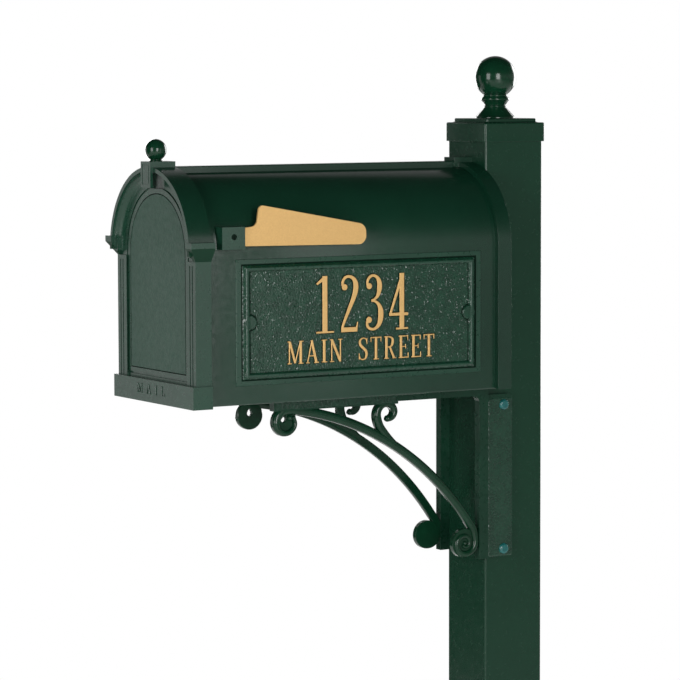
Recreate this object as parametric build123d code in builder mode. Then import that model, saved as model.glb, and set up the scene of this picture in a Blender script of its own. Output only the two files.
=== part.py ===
# Curbside post box: an arched letter box with a bottom-hinged door, a flag and two side plaques,
# carried by two scroll brackets on a square post with a turned finial.
# Frame: +Z up, the door faces -Y, the flag is on +X, and the origin is on the post's axis at ground level.
import os
from math import atan2, cos, degrees, radians, sin, sqrt

from build123d import *

os.makedirs("parts", exist_ok=True)

# ---------------------------------------------------------------- driving dimensions, mm
box_height = 1070.0         # ground to the underside of the box

post_width = 101.6
post_wall = 3.2
post_corner = 3.0
post_over_roof = 52.0       # top of the roof to the top of the tube
post_in_ground = 510.0

body_half = 112.0           # half the width of the box, which is also the radius of its roof
spring_height = 211.0       # underside of the box to the centre of its roof
body_length = 494.2
sheet = 2.0
flange_edge = 22.0          # half the slot between the two bottom flanges

cap_lip = 3.2               # how far the cap stands out past the post
cap_skirt = 28.1
cap_lap = 14.7              # how far the skirt reaches down over the tube
cap_step_in = 9.0
cap_step = 6.1

rail_half = 11.0
rail_rise = 9.0             # above the top of the roof

cover_lip = 8.0             # how far the rear cover stands out past the box
cover_plate = 4.0
cover_depth = 23.0
keystone_half = 14.0
keystone_rise = 14.5
keystone_front = 8.0        # how far the keystone reaches in front of the cover

door_gap = 1.0
door_drop = 2.0             # how far the plinth hangs below the underside of the box
hood_lip = 9.0              # each lip is how far a part of the door stands out past the box
slab_lip = 6.0
plinth_lip = 9.0
cornice_lip = 19.4
hood_depth = 36.0
hood_rim = 6.0
cove_radius = 13.0
slab_depth = 22.0
panel_thick = 4.0
pocket_bottom = 14.0        # height of the solid foot under the pocket behind the panel
pilaster_width = 27.0
pilaster_depth = 25.0
panel_margin = 9.0          # from the panel's edge to its inset border line
line_width = 1.6
line_depth = 0.8
groove_width = 3.0
groove_depth = 2.0
plinth_depth = 31.0
plinth_top = 30.0
cornice_depth = 38.0
cornice_rise = 19.0         # above the centre of the roof
cornice_fascia = 8.0
cornice_height = 27.0
flute_width = 2.2
flute_depth = 1.5
flute_insets = (9.0, 16.5)  # from the pilaster's outer edge
notch_half = 22.0
notch_drop = 22.0           # below the top of the roof
notch_depth = 20.0

pull_half = 14.5
pull_rise = 16.5            # above the top of the roof
pull_leg_drop = 20.0        # below the top of the roof
pull_leg = 4.0
ball_radius = 15.4
ball_rise = 16.0            # from the pull's plate to the ball's centre
ball_neck = 7.6
ball_setback = 12.5         # from the hood's front rim to the ball's axis

hinge_at = 45.0             # each door hinge's centre, to either side of the middle
hinge_width = 30.0
knuckle_radius = 3.0
door_pin_radius = 1.5

flag_thick = 3.5
flag_setback = 30.2         # from the box's front edge to the flag's pivot
flag_rise = 25.6            # from the centre of the roof to the pivot
flag_length = 215.8         # from the pivot to the tip
flag_crest = 43.7           # from the pivot up to the crest's corner
flag_hub_radius = 12.7
flag_screw_radius = 2.5
mount_reach = 17.3          # behind the pivot
mount_wall = 6.0            # the clevis's front wall
mount_floor = 3.9
mount_over = 1.2            # how far the cheeks reach above the hub
mount_lip = 16.0            # how far the clevis stands out past the box
mount_cheek = 2.8

plaque_setback = 40.4       # from the box's front edge
plaque_end_gap = 26.6       # from the rear cover
plaque_bottom = 27.0
plaque_top_gap = 7.0        # below the centre of the roof
plaque_back = 1.2
plaque_border = 4.5         # how far the border stands out from the body side
plaque_margin = 22.0        # from the plaque's ends to its field
plaque_edge = 17.5          # from its top and bottom to its field
field_depth = 3.0
lug_radius = 8.5

bracket_plate = 6.2
rib_proud = 2.8             # how far the rib stands out from the plate
rib_depth = 16.0
rib_width = 13.0
bar_gap = 3.0               # rubber spacers between the bar and the box
bar_depth = 12.0
bar_reach = 367.0           # from the post to the bar's front end
web_depth = 15.6
web_reach = 158.2           # from the post to the rear end of the deep web
bracket_bottom = -260.0
plate_top = -14.5
plate_length = 45.3
plate_corner = 8.5
bar_corner = 11.0
bolt_setback = 28.6         # from the plate's front edge
bolt_insets = (16.0, 12.6)  # from the plate's top and bottom edges
bolt_radius = 5.0
bolt_head_radius = 8.0

arm_half = 6.2
arm_bulge = 43.2            # how far the brace's arm bows out from a straight line
front_scroll_radius = 19.5
front_scroll_hole = 7.5
upper_scroll_radius = 19.0
upper_scroll_hole = 7.5
lower_scroll_radius = 21.0

# clearances, radial for round fits
fit = 0.4
screw_fit = 0.06
pin_fit = 0.05
running = 0.3

# ---------------------------------------------------------------- derived places
post_half = post_width / 2
roof_top = spring_height + body_half
roof_inner = body_half - sheet
body_rear = -(post_half + cover_plate)
body_front = body_rear - body_length
cover_half = body_half + cover_lip
cover_front = -(post_half + cover_depth)
rail_top = roof_top + rail_rise
keystone_top = roof_top + keystone_rise

cap_half = post_half + cap_lip
cap_step_half = cap_half - cap_step_in
tube_top = box_height + roof_top + post_over_roof
cap_top = tube_top - cap_lap + cap_skirt

door_rear = body_front - door_gap
hood_front = door_rear - hood_depth
hood_radius = body_half + hood_lip
slab_half = body_half + slab_lip
plinth_half = body_half + plinth_lip
cornice_half = body_half + cornice_lip
cornice_top = spring_height + cornice_rise
cornice_bottom = cornice_top - cornice_height
panel_half = slab_half - pilaster_width
panel_line = panel_half - panel_margin
notch_bottom = roof_top - notch_drop
pull_top = roof_top + pull_rise
pull_leg_bottom = roof_top - pull_leg_drop
ball_height = pull_top + ball_rise
floor_top = 2 * sheet
hinge_height = -door_drop - knuckle_radius - running

flag_pivot = (body_front + flag_setback, spring_height + flag_rise)
flag_top_edge = flag_pivot[1] + flag_hub_radius
flag_low_edge = flag_pivot[1] - flag_hub_radius - 0.4
slot_front = flag_pivot[0] - flag_hub_radius - running
mount_front = slot_front - mount_wall
mount_rear = flag_pivot[0] + mount_reach
mount_bottom = flag_low_edge - running - mount_floor
mount_top = flag_top_edge + mount_over
mount_out = body_half + mount_lip

plaque_front = body_front + plaque_setback
plaque_rear = cover_front - plaque_end_gap
plaque_top = spring_height - plaque_top_gap
field_front = plaque_front + plaque_margin
field_rear = plaque_rear - plaque_margin
field_bottom = plaque_bottom + plaque_edge
field_top = plaque_top - plaque_edge

rib_outer = post_half + bracket_plate + rib_proud
rib_inner = rib_outer - rib_width
rib_front = -(post_half + rib_depth)
bar_front = -(post_half + bar_reach)
web_rear = -(post_half + web_reach)
plate_rear = -post_half + plate_length
bolt_heights = (plate_top - bolt_insets[0], bracket_bottom + bolt_insets[1])
front_scroll = (bar_front + 20.8, -bar_gap - web_depth - 16.4)
upper_scroll = (web_rear - 18.0, -bar_gap - web_depth - 13.9)
lower_scroll = (rib_front - 23.7, bracket_bottom + 25.7)
arm_front = (front_scroll[0] + 5.1, front_scroll[1] + 18.0)
arm_foot = (lower_scroll[0] + 20.6, lower_scroll[1] + 12.2)
far = 400.0                 # longer than any cut needs to be


def section(y):
    """Upright plane across the box, heights from its underside; extrusions run towards the door."""
    return Plane(origin=(0, y, box_height), x_dir=(1, 0, 0), z_dir=(0, -1, 0))


def side(x):
    """Upright plane along the box, heights from its underside; extrusions run towards +X."""
    return Plane(origin=(x, 0, box_height), x_dir=(0, 1, 0), z_dir=(1, 0, 0))


def level(z, x=0, y=0):
    """Level plane at a height above the underside of the box; extrusions run upwards."""
    return Plane.XY.offset(box_height + z).move(Location((x, y, 0)))


def arch(half, bottom, mode=Mode.ADD):
    """Two straight sides under a half circle, closed along the bottom."""
    with BuildLine() as outline:
        Polyline((-half, spring_height), (-half, bottom), (half, bottom), (half, spring_height))
        ThreePointArc((half, spring_height), (0, spring_height + half), (-half, spring_height))
    make_face(outline.edges(), mode=mode)


def block(x0, x1, y0, y1, z0, z1, mode=Mode.ADD):
    """Box between two corners, with its heights measured from the underside of the box."""
    with BuildSketch(level(z0)) as base:
        with Locations(((x0 + x1) / 2, (y0 + y1) / 2)):
            Rectangle(abs(x1 - x0), abs(y1 - y0))
    extrude(base.sketch, amount=z1 - z0, mode=mode)


def rod(plane, radius, length, places=((0, 0),), mode=Mode.ADD):
    """Round rods of one radius, standing on a plane at the given places."""
    with BuildSketch(plane) as rounds:
        with Locations(*places):
            Circle(radius)
    extrude(rounds.sketch, amount=length, mode=mode)


def roof_at(x, radius):
    """Height of an arch of this radius at a distance x from the middle."""
    return spring_height + sqrt(radius**2 - x**2)


pieces = {}

# ---------------------------------------------------------------- post, cap and finial
stud_radius = 4.0
stud_below = 16.0           # stud length under the cap's top plate
stud_above = 24.0           # stud length inside the finial
cap_screw_radius = 2.0
cap_screw_height = tube_top - cap_lap / 2
cap_screw_x = post_half - 25.8
cap_screw_places = [(x, cap_screw_height - box_height) for x in (-cap_screw_x, cap_screw_x)]
bolt_places = [(-post_half + bolt_setback, z) for z in bolt_heights]
rear_screw_radius = 3.0
rear_screw_x = post_half - 20.8
rear_screw_places = [(x, z) for x in (-rear_screw_x, rear_screw_x) for z in (60.0, roof_top - 73.0)]

with BuildPart() as post_tube:
    with BuildSketch(Plane.XY.offset(-post_in_ground)):
        RectangleRounded(post_width, post_width, post_corner)
        Rectangle(post_width - 2 * post_wall, post_width - 2 * post_wall, mode=Mode.SUBTRACT)
    extrude(amount=post_in_ground + tube_top)
    rod(side(-post_half), bolt_radius + screw_fit, post_width, bolt_places, Mode.SUBTRACT)
    rod(section(post_half + 1), cap_screw_radius, post_wall + 2, cap_screw_places, Mode.SUBTRACT)
    inside_front = section(-post_half + post_wall + 1)
    rod(inside_front, rear_screw_radius, post_wall + 2, rear_screw_places, Mode.SUBTRACT)
pieces["post_tube"] = post_tube

with BuildPart() as post_cap:
    with BuildSketch(Plane.XY.offset(tube_top - cap_lap)):
        RectangleRounded(2 * cap_half, 2 * cap_half, post_corner)
    extrude(amount=cap_skirt)
    with BuildSketch(Plane.XY.offset(cap_top)):
        RectangleRounded(2 * cap_step_half, 2 * cap_step_half, post_corner)
    extrude(amount=cap_step)
    with BuildSketch(Plane.XY.offset(tube_top - cap_lap)):
        RectangleRounded(post_width + 2 * fit, post_width + 2 * fit, post_corner)
    extrude(amount=cap_lap, mode=Mode.SUBTRACT)
    rod(Plane.XY.offset(tube_top), stud_radius + screw_fit, far, mode=Mode.SUBTRACT)
    skirt_through = cap_half - post_half + 1
    rod(section(cap_half + 1), cap_screw_radius + screw_fit, skirt_through, cap_screw_places, Mode.SUBTRACT)
pieces["post_cap"] = post_cap

finial_base = cap_top + cap_step
finial_rim_radius = 30.0
finial_rim = 2.5
finial_neck_radius = 15.6
finial_neck_height = 18.5
finial_collar_radius = 21.8
finial_collar_height = 28.8
finial_throat_radius = 17.7
finial_ball_radius = 31.4
finial_ball_height = 61.5

with BuildPart() as post_finial:
    with BuildSketch(Plane(origin=(0, 0, finial_base), x_dir=(1, 0, 0), z_dir=(0, -1, 0))):
        throat_height = finial_ball_height - sqrt(finial_ball_radius**2 - finial_throat_radius**2)
        with BuildLine():
            Polyline(
                (0, 0),
                (finial_rim_radius, 0),
                (finial_rim_radius, finial_rim),
                (finial_neck_radius, finial_neck_height),
                (finial_collar_radius, finial_collar_height),
                (finial_throat_radius, throat_height),
            )
            ThreePointArc(
                (finial_throat_radius, throat_height),
                (finial_ball_radius, finial_ball_height),
                (0, finial_ball_height + finial_ball_radius),
            )
            Line((0, finial_ball_height + finial_ball_radius), (0, 0))
        make_face()
    revolve(axis=Axis.Z)
    rod(Plane.XY.offset(finial_base), stud_radius, stud_above, mode=Mode.SUBTRACT)
pieces["post_finial"] = post_finial

with BuildPart() as finial_stud:
    stud_foot = tube_top - stud_below
    rod(Plane.XY.offset(stud_foot), stud_radius, finial_base + stud_above - stud_foot)
pieces["finial_stud"] = finial_stud

with BuildPart() as finial_nut:
    with BuildSketch(Plane.XY.offset(tube_top - 1.75 * stud_radius)):
        RegularPolygon(radius=1.8 * stud_radius, side_count=6)
        Circle(stud_radius, mode=Mode.SUBTRACT)
    extrude(amount=1.75 * stud_radius)
pieces["finial_nut"] = finial_nut

with BuildPart() as cap_screws:
    rod(section(cap_half), cap_screw_radius, cap_half - post_half + post_wall + 2, cap_screw_places)
    rod(section(cap_half + 2), 2 * cap_screw_radius, 2, cap_screw_places)
pieces["cap_screws"] = cap_screws

# ---------------------------------------------------------------- brackets and scroll braces
body_screw_radius = 3.0
body_screw_x = (rib_outer + rib_inner) / 2
body_screw_places = [(body_screw_x, y) for y in (bar_front + 77.8, web_rear + 79.0)]
body_screw_bite = 9.0       # thread length inside the bar
brace_screw_radius = 2.0
brace_screw_places = [(body_screw_x, bar_front + 12.8), (body_screw_x, web_rear - 11.0)]
brace_screw_bite = 9.0
web_under = level(-bar_gap - web_depth)
brace_thread_end = -bar_gap - web_depth - brace_screw_bite

with BuildPart() as right_bracket:
    with BuildSketch(side(rib_inner)):
        with BuildLine():
            Polyline(
                (-post_half, -bar_gap),
                (bar_front, -bar_gap),
                (bar_front, -bar_gap - web_depth),
                (web_rear, -bar_gap - web_depth),
                (web_rear, -bar_gap - bar_depth),
                (rib_front, -bar_gap - bar_depth),
                (rib_front, bracket_bottom),
                (-post_half, bracket_bottom),
                close=True,
            )
        make_face()
    extrude(amount=rib_width)
    inner_corner = right_bracket.edges().filter_by(Axis.X).sort_by_distance(
        (body_screw_x, rib_front, box_height - bar_gap - bar_depth)
    )[0]
    fillet(inner_corner, radius=bar_corner)
    with BuildSketch(side(post_half)):
        with BuildLine():
            Polyline(
                (-post_half, plate_top),
                (-post_half, bracket_bottom),
                (plate_rear, bracket_bottom),
                (plate_rear, plate_top),
                close=True,
            )
        make_face()
    extrude(amount=bracket_plate)
    cross_edges = right_bracket.edges().filter_by(Axis.X)
    fillet(cross_edges.filter_by_position(Axis.Y, plate_rear - 1, plate_rear + 1), radius=plate_corner)
    rod(side(post_half), bolt_radius + screw_fit, bracket_plate, bolt_places, Mode.SUBTRACT)
    thread_end = level(-bar_gap - body_screw_bite)
    rod(thread_end, body_screw_radius, body_screw_bite, body_screw_places, Mode.SUBTRACT)
    rod(web_under, brace_screw_radius + screw_fit, web_depth, brace_screw_places, Mode.SUBTRACT)
    rod(level(-bar_gap - 3), 2 * brace_screw_radius + screw_fit, 3, brace_screw_places, Mode.SUBTRACT)
pieces["right_bracket"] = right_bracket


# The arm is a round arc from arm_foot to arm_front, so its centre and radius follow from chord and bulge.
chord = Vector(*arm_front) - Vector(*arm_foot)
arm_radius = (chord.length / 2) ** 2 / (2 * arm_bulge) + arm_bulge / 2
towards_centre = chord.rotate(Axis.Z, 90).normalized()
arm_centre = Vector(*arm_foot) + chord / 2 + towards_centre * (arm_radius - arm_bulge)
foot_angle, front_angle = [
    degrees(atan2(end[1] - arm_centre.Y, end[0] - arm_centre.X)) for end in (arm_foot, arm_front)
]
arm_angles = (foot_angle, (foot_angle + front_angle) / 2, front_angle)
branch_half = 2.5           # degrees of the arm that the branch springs from, each way


def on_arm(angle, radius):
    """Point at an angle up from +Y on a circle about the brace arm's centre."""
    return (arm_centre.X + radius * cos(radians(angle)), arm_centre.Y + radius * sin(radians(angle)))


with BuildPart() as right_scroll:
    outer_arc = [on_arm(angle, arm_radius + arm_half) for angle in arm_angles]
    inner_arc = [on_arm(angle, arm_radius - arm_half) for angle in arm_angles]
    with BuildSketch(side(rib_inner)):
        with BuildLine():
            ThreePointArc(*outer_arc)
            Line(outer_arc[-1], inner_arc[-1])
            ThreePointArc(*inner_arc)
            Line(inner_arc[0], outer_arc[0])
        make_face()
        with BuildLine():
            Polyline(
                on_arm(arm_angles[1] + branch_half, arm_radius),
                on_arm(arm_angles[1] - branch_half, arm_radius),
                (upper_scroll[0] - 5, upper_scroll[1] - 8),
                (upper_scroll[0] - upper_scroll_radius + 2, upper_scroll[1] - 5),
                close=True,
            )
        make_face()
        with Locations(front_scroll):
            Circle(front_scroll_radius)
        with Locations(upper_scroll):
            Circle(upper_scroll_radius)
        with Locations(lower_scroll):
            Circle(lower_scroll_radius)
        with Locations(front_scroll):
            Circle(front_scroll_hole, mode=Mode.SUBTRACT)
        with Locations(upper_scroll):
            Circle(upper_scroll_hole, mode=Mode.SUBTRACT)
    extrude(amount=rib_width)
    add(right_bracket.part, mode=Mode.SUBTRACT)
    block(rib_inner, rib_outer, rib_front, 0, bracket_bottom - 20, 0, mode=Mode.SUBTRACT)
    block(rib_inner, rib_outer, bar_front, web_rear, -bar_gap - web_depth, 10, mode=Mode.SUBTRACT)
    block(rib_inner, rib_outer, web_rear, 0, -bar_gap - bar_depth, 10, mode=Mode.SUBTRACT)
    rod(level(brace_thread_end), brace_screw_radius, brace_screw_bite, brace_screw_places, Mode.SUBTRACT)
pieces["right_scroll"] = right_scroll

with BuildPart() as brace_screws:
    brace_screw_length = web_depth + brace_screw_bite - 3
    rod(level(brace_thread_end + 1), brace_screw_radius, brace_screw_length, brace_screw_places)
    rod(level(-bar_gap - 2.8), 2 * brace_screw_radius, 2.6, brace_screw_places)
    mirror(about=Plane.YZ)
pieces["brace_screws"] = brace_screws

with BuildPart() as body_spacers:
    rod(level(-bar_gap), 2.6 * body_screw_radius, bar_gap, body_screw_places)
    rod(level(-bar_gap), body_screw_radius + screw_fit, bar_gap, body_screw_places, Mode.SUBTRACT)
    mirror(about=Plane.YZ)
pieces["body_spacers"] = body_spacers

with BuildPart() as body_screws:
    body_screw_tip = -bar_gap - body_screw_bite + 1
    rod(level(body_screw_tip), body_screw_radius, floor_top - body_screw_tip, body_screw_places)
    rod(level(floor_top), 2 * body_screw_radius, 4.0, body_screw_places)
    mirror(about=Plane.YZ)
pieces["body_screws"] = body_screws

bolt_head = 4.5
bolt_end = 12.0             # thread that stands out past the left bracket

with BuildPart() as bracket_bolts:
    bolt_start = -(post_half + bracket_plate + bolt_end)
    rod(side(bolt_start), bolt_radius, -bolt_start + post_half + bracket_plate, bolt_places)
    rod(side(post_half + bracket_plate), bolt_head_radius, bolt_head, bolt_places)
    outer_rims = bracket_bolts.edges().filter_by_position(
        Axis.X, post_half + bracket_plate + bolt_head - 0.1, post_half + bracket_plate + bolt_head + 0.1
    )
    fillet(outer_rims, radius=3.6)
pieces["bracket_bolts"] = bracket_bolts

with BuildPart() as bracket_nuts:
    with BuildSketch(side(-(post_half + bracket_plate))):
        with Locations(*bolt_places):
            RegularPolygon(radius=1.85 * bolt_radius, side_count=6)
            Circle(bolt_radius, mode=Mode.SUBTRACT)
    extrude(amount=-8.5)
    with BuildSketch(side(-(post_half + bracket_plate) - 8.5)):
        with Locations(*bolt_places):
            Circle(bolt_head_radius)
            Circle(bolt_radius, mode=Mode.SUBTRACT)
    extrude(amount=-(bolt_end - 8.5))
    rod(side(-(post_half + bracket_plate + bolt_end + 3.0)), bolt_head_radius, 3.0, bolt_places)
    cap_rims = bracket_nuts.faces().sort_by(Axis.X)[:2].edges()
    fillet(cap_rims, radius=2.6)
pieces["bracket_nuts"] = bracket_nuts

# ---------------------------------------------------------------- box body
rail_screw_radius = 2.0
rail_screw_places = [(0, y) for y in (body_front + 70, (body_front + body_rear) / 2, body_rear - 70)]
rail_screw_bite = 7.0
rail_screw_tip = spring_height + body_half + rail_screw_bite
mount_screw_radius = 2.0
mount_screw_places = [(mount_front + 7.0, flag_pivot[1] - 6), (mount_rear - 6.0, flag_pivot[1] - 6)]
plaque_screw_radius = 1.75
plaque_screw_height = (plaque_bottom + plaque_top) / 2
plaque_screw_places = [
    ((plaque_front + 3 * field_front) / 4, plaque_screw_height),
    ((plaque_rear + 3 * field_rear) / 4, plaque_screw_height),
]
hinge_screw_radius = 1.5
hinge_centres = (-hinge_at, hinge_at)
hinge_screw_setback = 12.0
hinge_screw_xs = [x + dx for x in hinge_centres for dx in (-9.0, 9.0)]
hinge_screw_places = [(x, body_front + hinge_screw_setback) for x in hinge_screw_xs]
catch_half = 14.0
catch_rear = body_front + 24.0
catch_screw_places = [(x, body_front + 18.0) for x in (4 - rail_half, rail_half - 4)]
catch_screw_radius = 1.5
catch_head_radius = 2.8
catch_head = 2.2
both_body_screws = [(sign * x, y) for x, y in body_screw_places for sign in (-1, 1)]

with BuildPart() as body_shell:
    with BuildSketch(section(body_rear)):
        arch(body_half, 0)
        arch(roof_inner, sheet, mode=Mode.SUBTRACT)
        with Locations((0, sheet / 2)):
            Rectangle(2 * flange_edge, sheet, mode=Mode.SUBTRACT)
    extrude(amount=body_length)
    rod(level(-1), body_screw_radius + screw_fit, sheet + 2, both_body_screws, Mode.SUBTRACT)
    rod(level(-1), hinge_screw_radius + screw_fit, sheet + 2, hinge_screw_places, Mode.SUBTRACT)
    rod(level(spring_height), rail_screw_radius + screw_fit, far, rail_screw_places, Mode.SUBTRACT)
    rod(level(spring_height), catch_screw_radius + screw_fit, far, catch_screw_places, Mode.SUBTRACT)
    rod(side(0), flag_screw_radius + screw_fit, far, [flag_pivot], Mode.SUBTRACT)
    rod(side(0), mount_screw_radius + screw_fit, far, mount_screw_places, Mode.SUBTRACT)
    rod(side(-far / 2), plaque_screw_radius + screw_fit, far, plaque_screw_places, Mode.SUBTRACT)
pieces["body_shell"] = body_shell

with BuildPart() as floor_panel:
    block(-roof_inner + fit, roof_inner - fit, body_front + 1, body_rear - 0.5, sheet, floor_top)
    rod(level(0), body_screw_radius + screw_fit, 2 * floor_top, both_body_screws, Mode.SUBTRACT)
    rod(level(0), hinge_screw_radius + screw_fit, 2 * floor_top, hinge_screw_places, Mode.SUBTRACT)
pieces["floor_panel"] = floor_panel

with BuildPart() as ridge_rail:
    rail_rear = cover_front - keystone_front
    with BuildSketch(section(rail_rear)):
        with Locations((0, (rail_top + spring_height) / 2)):
            Rectangle(2 * rail_half, rail_top - spring_height)
        with Locations((0, spring_height)):
            Circle(body_half + screw_fit, mode=Mode.SUBTRACT)
    extrude(amount=rail_rear - body_front)
    chamfer(ridge_rail.edges().group_by(Axis.Z)[-1].filter_by(Axis.Y), length=1.2)
    hole_length = body_half + rail_screw_bite + 0.5
    rod(level(spring_height), rail_screw_radius, hole_length, rail_screw_places, Mode.SUBTRACT)
    rod(level(spring_height), catch_screw_radius, hole_length, catch_screw_places, Mode.SUBTRACT)
pieces["ridge_rail"] = ridge_rail

with BuildPart() as rail_screws:
    head_top = roof_at(2 * rail_screw_radius, roof_inner) - screw_fit
    rod(level(head_top), rail_screw_radius, rail_screw_tip - head_top, rail_screw_places)
    rod(level(head_top - 2.5), 2 * rail_screw_radius, 2.5, rail_screw_places)
pieces["rail_screws"] = rail_screws

with BuildPart() as rear_cover:
    with BuildSketch(section(-post_half)):
        arch(cover_half, 0)
    extrude(amount=cover_depth)
    with BuildSketch(section(body_rear)):
        arch(body_half + fit, -10)
    extrude(amount=cover_depth, mode=Mode.SUBTRACT)
    with BuildSketch(section(-post_half)):
        with Locations((0, (spring_height + keystone_top) / 2)):
            Rectangle(2 * keystone_half, keystone_top - spring_height)
        with Locations((0, spring_height)):
            Circle(body_half + fit, mode=Mode.SUBTRACT)
    extrude(amount=cover_depth + keystone_front)
    rod(section(-post_half), rear_screw_radius + screw_fit, cover_plate, rear_screw_places, Mode.SUBTRACT)
pieces["rear_cover"] = rear_cover

with BuildPart() as rear_screws:
    rear_screw_end = -post_half + post_wall + 4
    rod(section(rear_screw_end), rear_screw_radius, rear_screw_end - body_rear, rear_screw_places)
    rod(section(body_rear), 2 * rear_screw_radius, 3.5, rear_screw_places)
pieces["rear_screws"] = rear_screws

# ---------------------------------------------------------------- magnet catch inside the roof
magnet_half = 12.0
magnet_top = roof_top - 10.0
magnet_bottom = magnet_top - 13.0
magnet_proud = 0.4          # how far the magnet stands in front of the shell's edge

with BuildPart() as catch_bracket:
    catch_top = roof_at(catch_half, roof_inner) - screw_fit
    block(-catch_half, catch_half, body_front + 2, catch_rear, magnet_top, catch_top)
    block(-catch_half, catch_half, catch_rear - 4, catch_rear, magnet_bottom, magnet_top)
    rod(level(magnet_top), catch_screw_radius + screw_fit, far, catch_screw_places, Mode.SUBTRACT)
    rod(level(magnet_top), catch_head_radius + screw_fit, catch_head, catch_screw_places, Mode.SUBTRACT)
pieces["catch_bracket"] = catch_bracket

with BuildPart() as catch_screws:
    catch_head_low = magnet_top + running
    rod(level(catch_head_low), catch_head_radius, catch_head - running, catch_screw_places)
    rod(level(catch_head_low), catch_screw_radius, rail_screw_tip - catch_head_low, catch_screw_places)
pieces["catch_screws"] = catch_screws

with BuildPart() as catch_magnet:
    block(-magnet_half, magnet_half, body_front - magnet_proud, catch_rear - 4, magnet_bottom, magnet_top)
pieces["catch_magnet"] = catch_magnet

# ---------------------------------------------------------------- door
strike_thick = 1.5
strike_recess = 0.8
strike_rear = body_front - magnet_proud - running
strike_front = strike_rear - strike_thick
boss_half = notch_half + 4.0
boss_bottom = magnet_bottom - 4.0
strike_screw_radius = 1.5
strike_screw_places = [(-9.0, (magnet_bottom + magnet_top) / 2), (9.0, (magnet_bottom + magnet_top) / 2)]
ball_axis_y = hood_front + ball_setback
pull_screw_radius = 2.5
door_hinge_screw_places = [(x, door_rear - hinge_screw_setback) for x in hinge_screw_xs]
flute_places = [sign * (slab_half - inset) for inset in flute_insets for sign in (-1, 1)]
panel_bottom = plinth_top + 4.0

with BuildPart() as door_casting:
    # slab with an arched top
    with BuildSketch(section(door_rear)):
        arch(slab_half, -door_drop)
    extrude(amount=slab_depth)
    # hood: half a turned ring, with a quarter-round cove from its rim down to the slab
    with BuildSketch(level(spring_height)):
        rim_inner = hood_radius - hood_rim
        cove_inner = rim_inner - cove_radius
        slab_front = door_rear - slab_depth
        cove_middle = cove_radius * cos(radians(45))
        with BuildLine():
            Polyline(
                (cove_inner, slab_front),
                (cove_inner, door_rear),
                (hood_radius, door_rear),
                (hood_radius, hood_front),
                (rim_inner, hood_front),
                (rim_inner, slab_front - cove_radius),
            )
            ThreePointArc(
                (rim_inner, slab_front - cove_radius),
                (cove_inner + cove_middle, slab_front - cove_radius + cove_middle),
                (cove_inner, slab_front),
            )
        make_face()
    revolve(axis=Axis((0, 0, box_height + spring_height), (0, -1, 0)), revolution_arc=180)
    block(-plinth_half, plinth_half, door_rear - plinth_depth, door_rear, -door_drop, plinth_top)
    # pocket behind the panel, with a boss for the strike plate
    with BuildSketch(section(door_rear)):
        arch(roof_inner + 0.5, pocket_bottom)
    extrude(amount=slab_depth - panel_thick, mode=Mode.SUBTRACT)
    boss_top = spring_height + roof_inner + 1
    block(-boss_half, boss_half, slab_front, strike_front, boss_bottom, boss_top)
    # pilasters, cornices and their flutes
    pilaster_front = door_rear - pilaster_depth
    for sign in (-1, 1):
        block(sign * panel_half, sign * slab_half, pilaster_front, door_rear, plinth_top, cornice_bottom)
        cornice_inner = slab_half - 5
        top_centre = (sign * (cornice_half + cornice_inner) / 2, door_rear - cornice_depth / 2)
        low_centre = (sign * (slab_half + cornice_inner) / 2, door_rear - pilaster_depth / 2)
        with BuildSketch(level(cornice_bottom)):
            with Locations(low_centre):
                Rectangle(slab_half - cornice_inner, pilaster_depth)
        with BuildSketch(level(cornice_top - cornice_fascia)):
            with Locations(top_centre):
                Rectangle(cornice_half - cornice_inner, cornice_depth)
        loft()
        block(sign * cornice_inner, sign * cornice_half, door_rear - cornice_depth, door_rear,
              cornice_top - cornice_fascia, cornice_top)
        block(sign * (cornice_inner - 7), sign * cornice_inner, door_rear - plinth_depth, door_rear,
              cornice_bottom + 6, cornice_top)
    for x in flute_places:
        block(x - flute_width / 2, x + flute_width / 2, pilaster_front, pilaster_front + flute_depth,
              plinth_top, cornice_bottom - 6, mode=Mode.SUBTRACT)
    # grooves round the panel: a deep one at its edge and a fine one inside it
    for half, low, width, depth in (
        (panel_half + groove_width, panel_bottom, groove_width, groove_depth),
        (panel_line + line_width, panel_bottom + 9, line_width, line_depth),
    ):
        with BuildSketch(section(door_rear - slab_depth + depth)):
            arch(half, low)
            arch(half - width, low + width, mode=Mode.SUBTRACT)
        extrude(amount=depth + pilaster_depth - slab_depth - 0.1, mode=Mode.SUBTRACT)
    # finger notch under the rim, behind the pull's leg
    with BuildSketch(section(hood_front + notch_depth)):
        with Locations((0, (notch_bottom + spring_height + hood_radius) / 2)):
            Rectangle(2 * notch_half, spring_height + hood_radius - notch_bottom)
        with Locations((0, spring_height)):
            Circle(hood_radius - hood_rim, mode=Mode.INTERSECT)
    extrude(amount=notch_depth, mode=Mode.SUBTRACT)
    rod(level(notch_bottom + 5, 0, ball_axis_y), pull_screw_radius + screw_fit, far / 4, mode=Mode.SUBTRACT)
    rod(section(strike_front), strike_screw_radius, 10.0, strike_screw_places, Mode.SUBTRACT)
    rod(level(-door_drop), hinge_screw_radius, 9.0, door_hinge_screw_places, Mode.SUBTRACT)
pieces["door_casting"] = door_casting

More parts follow.
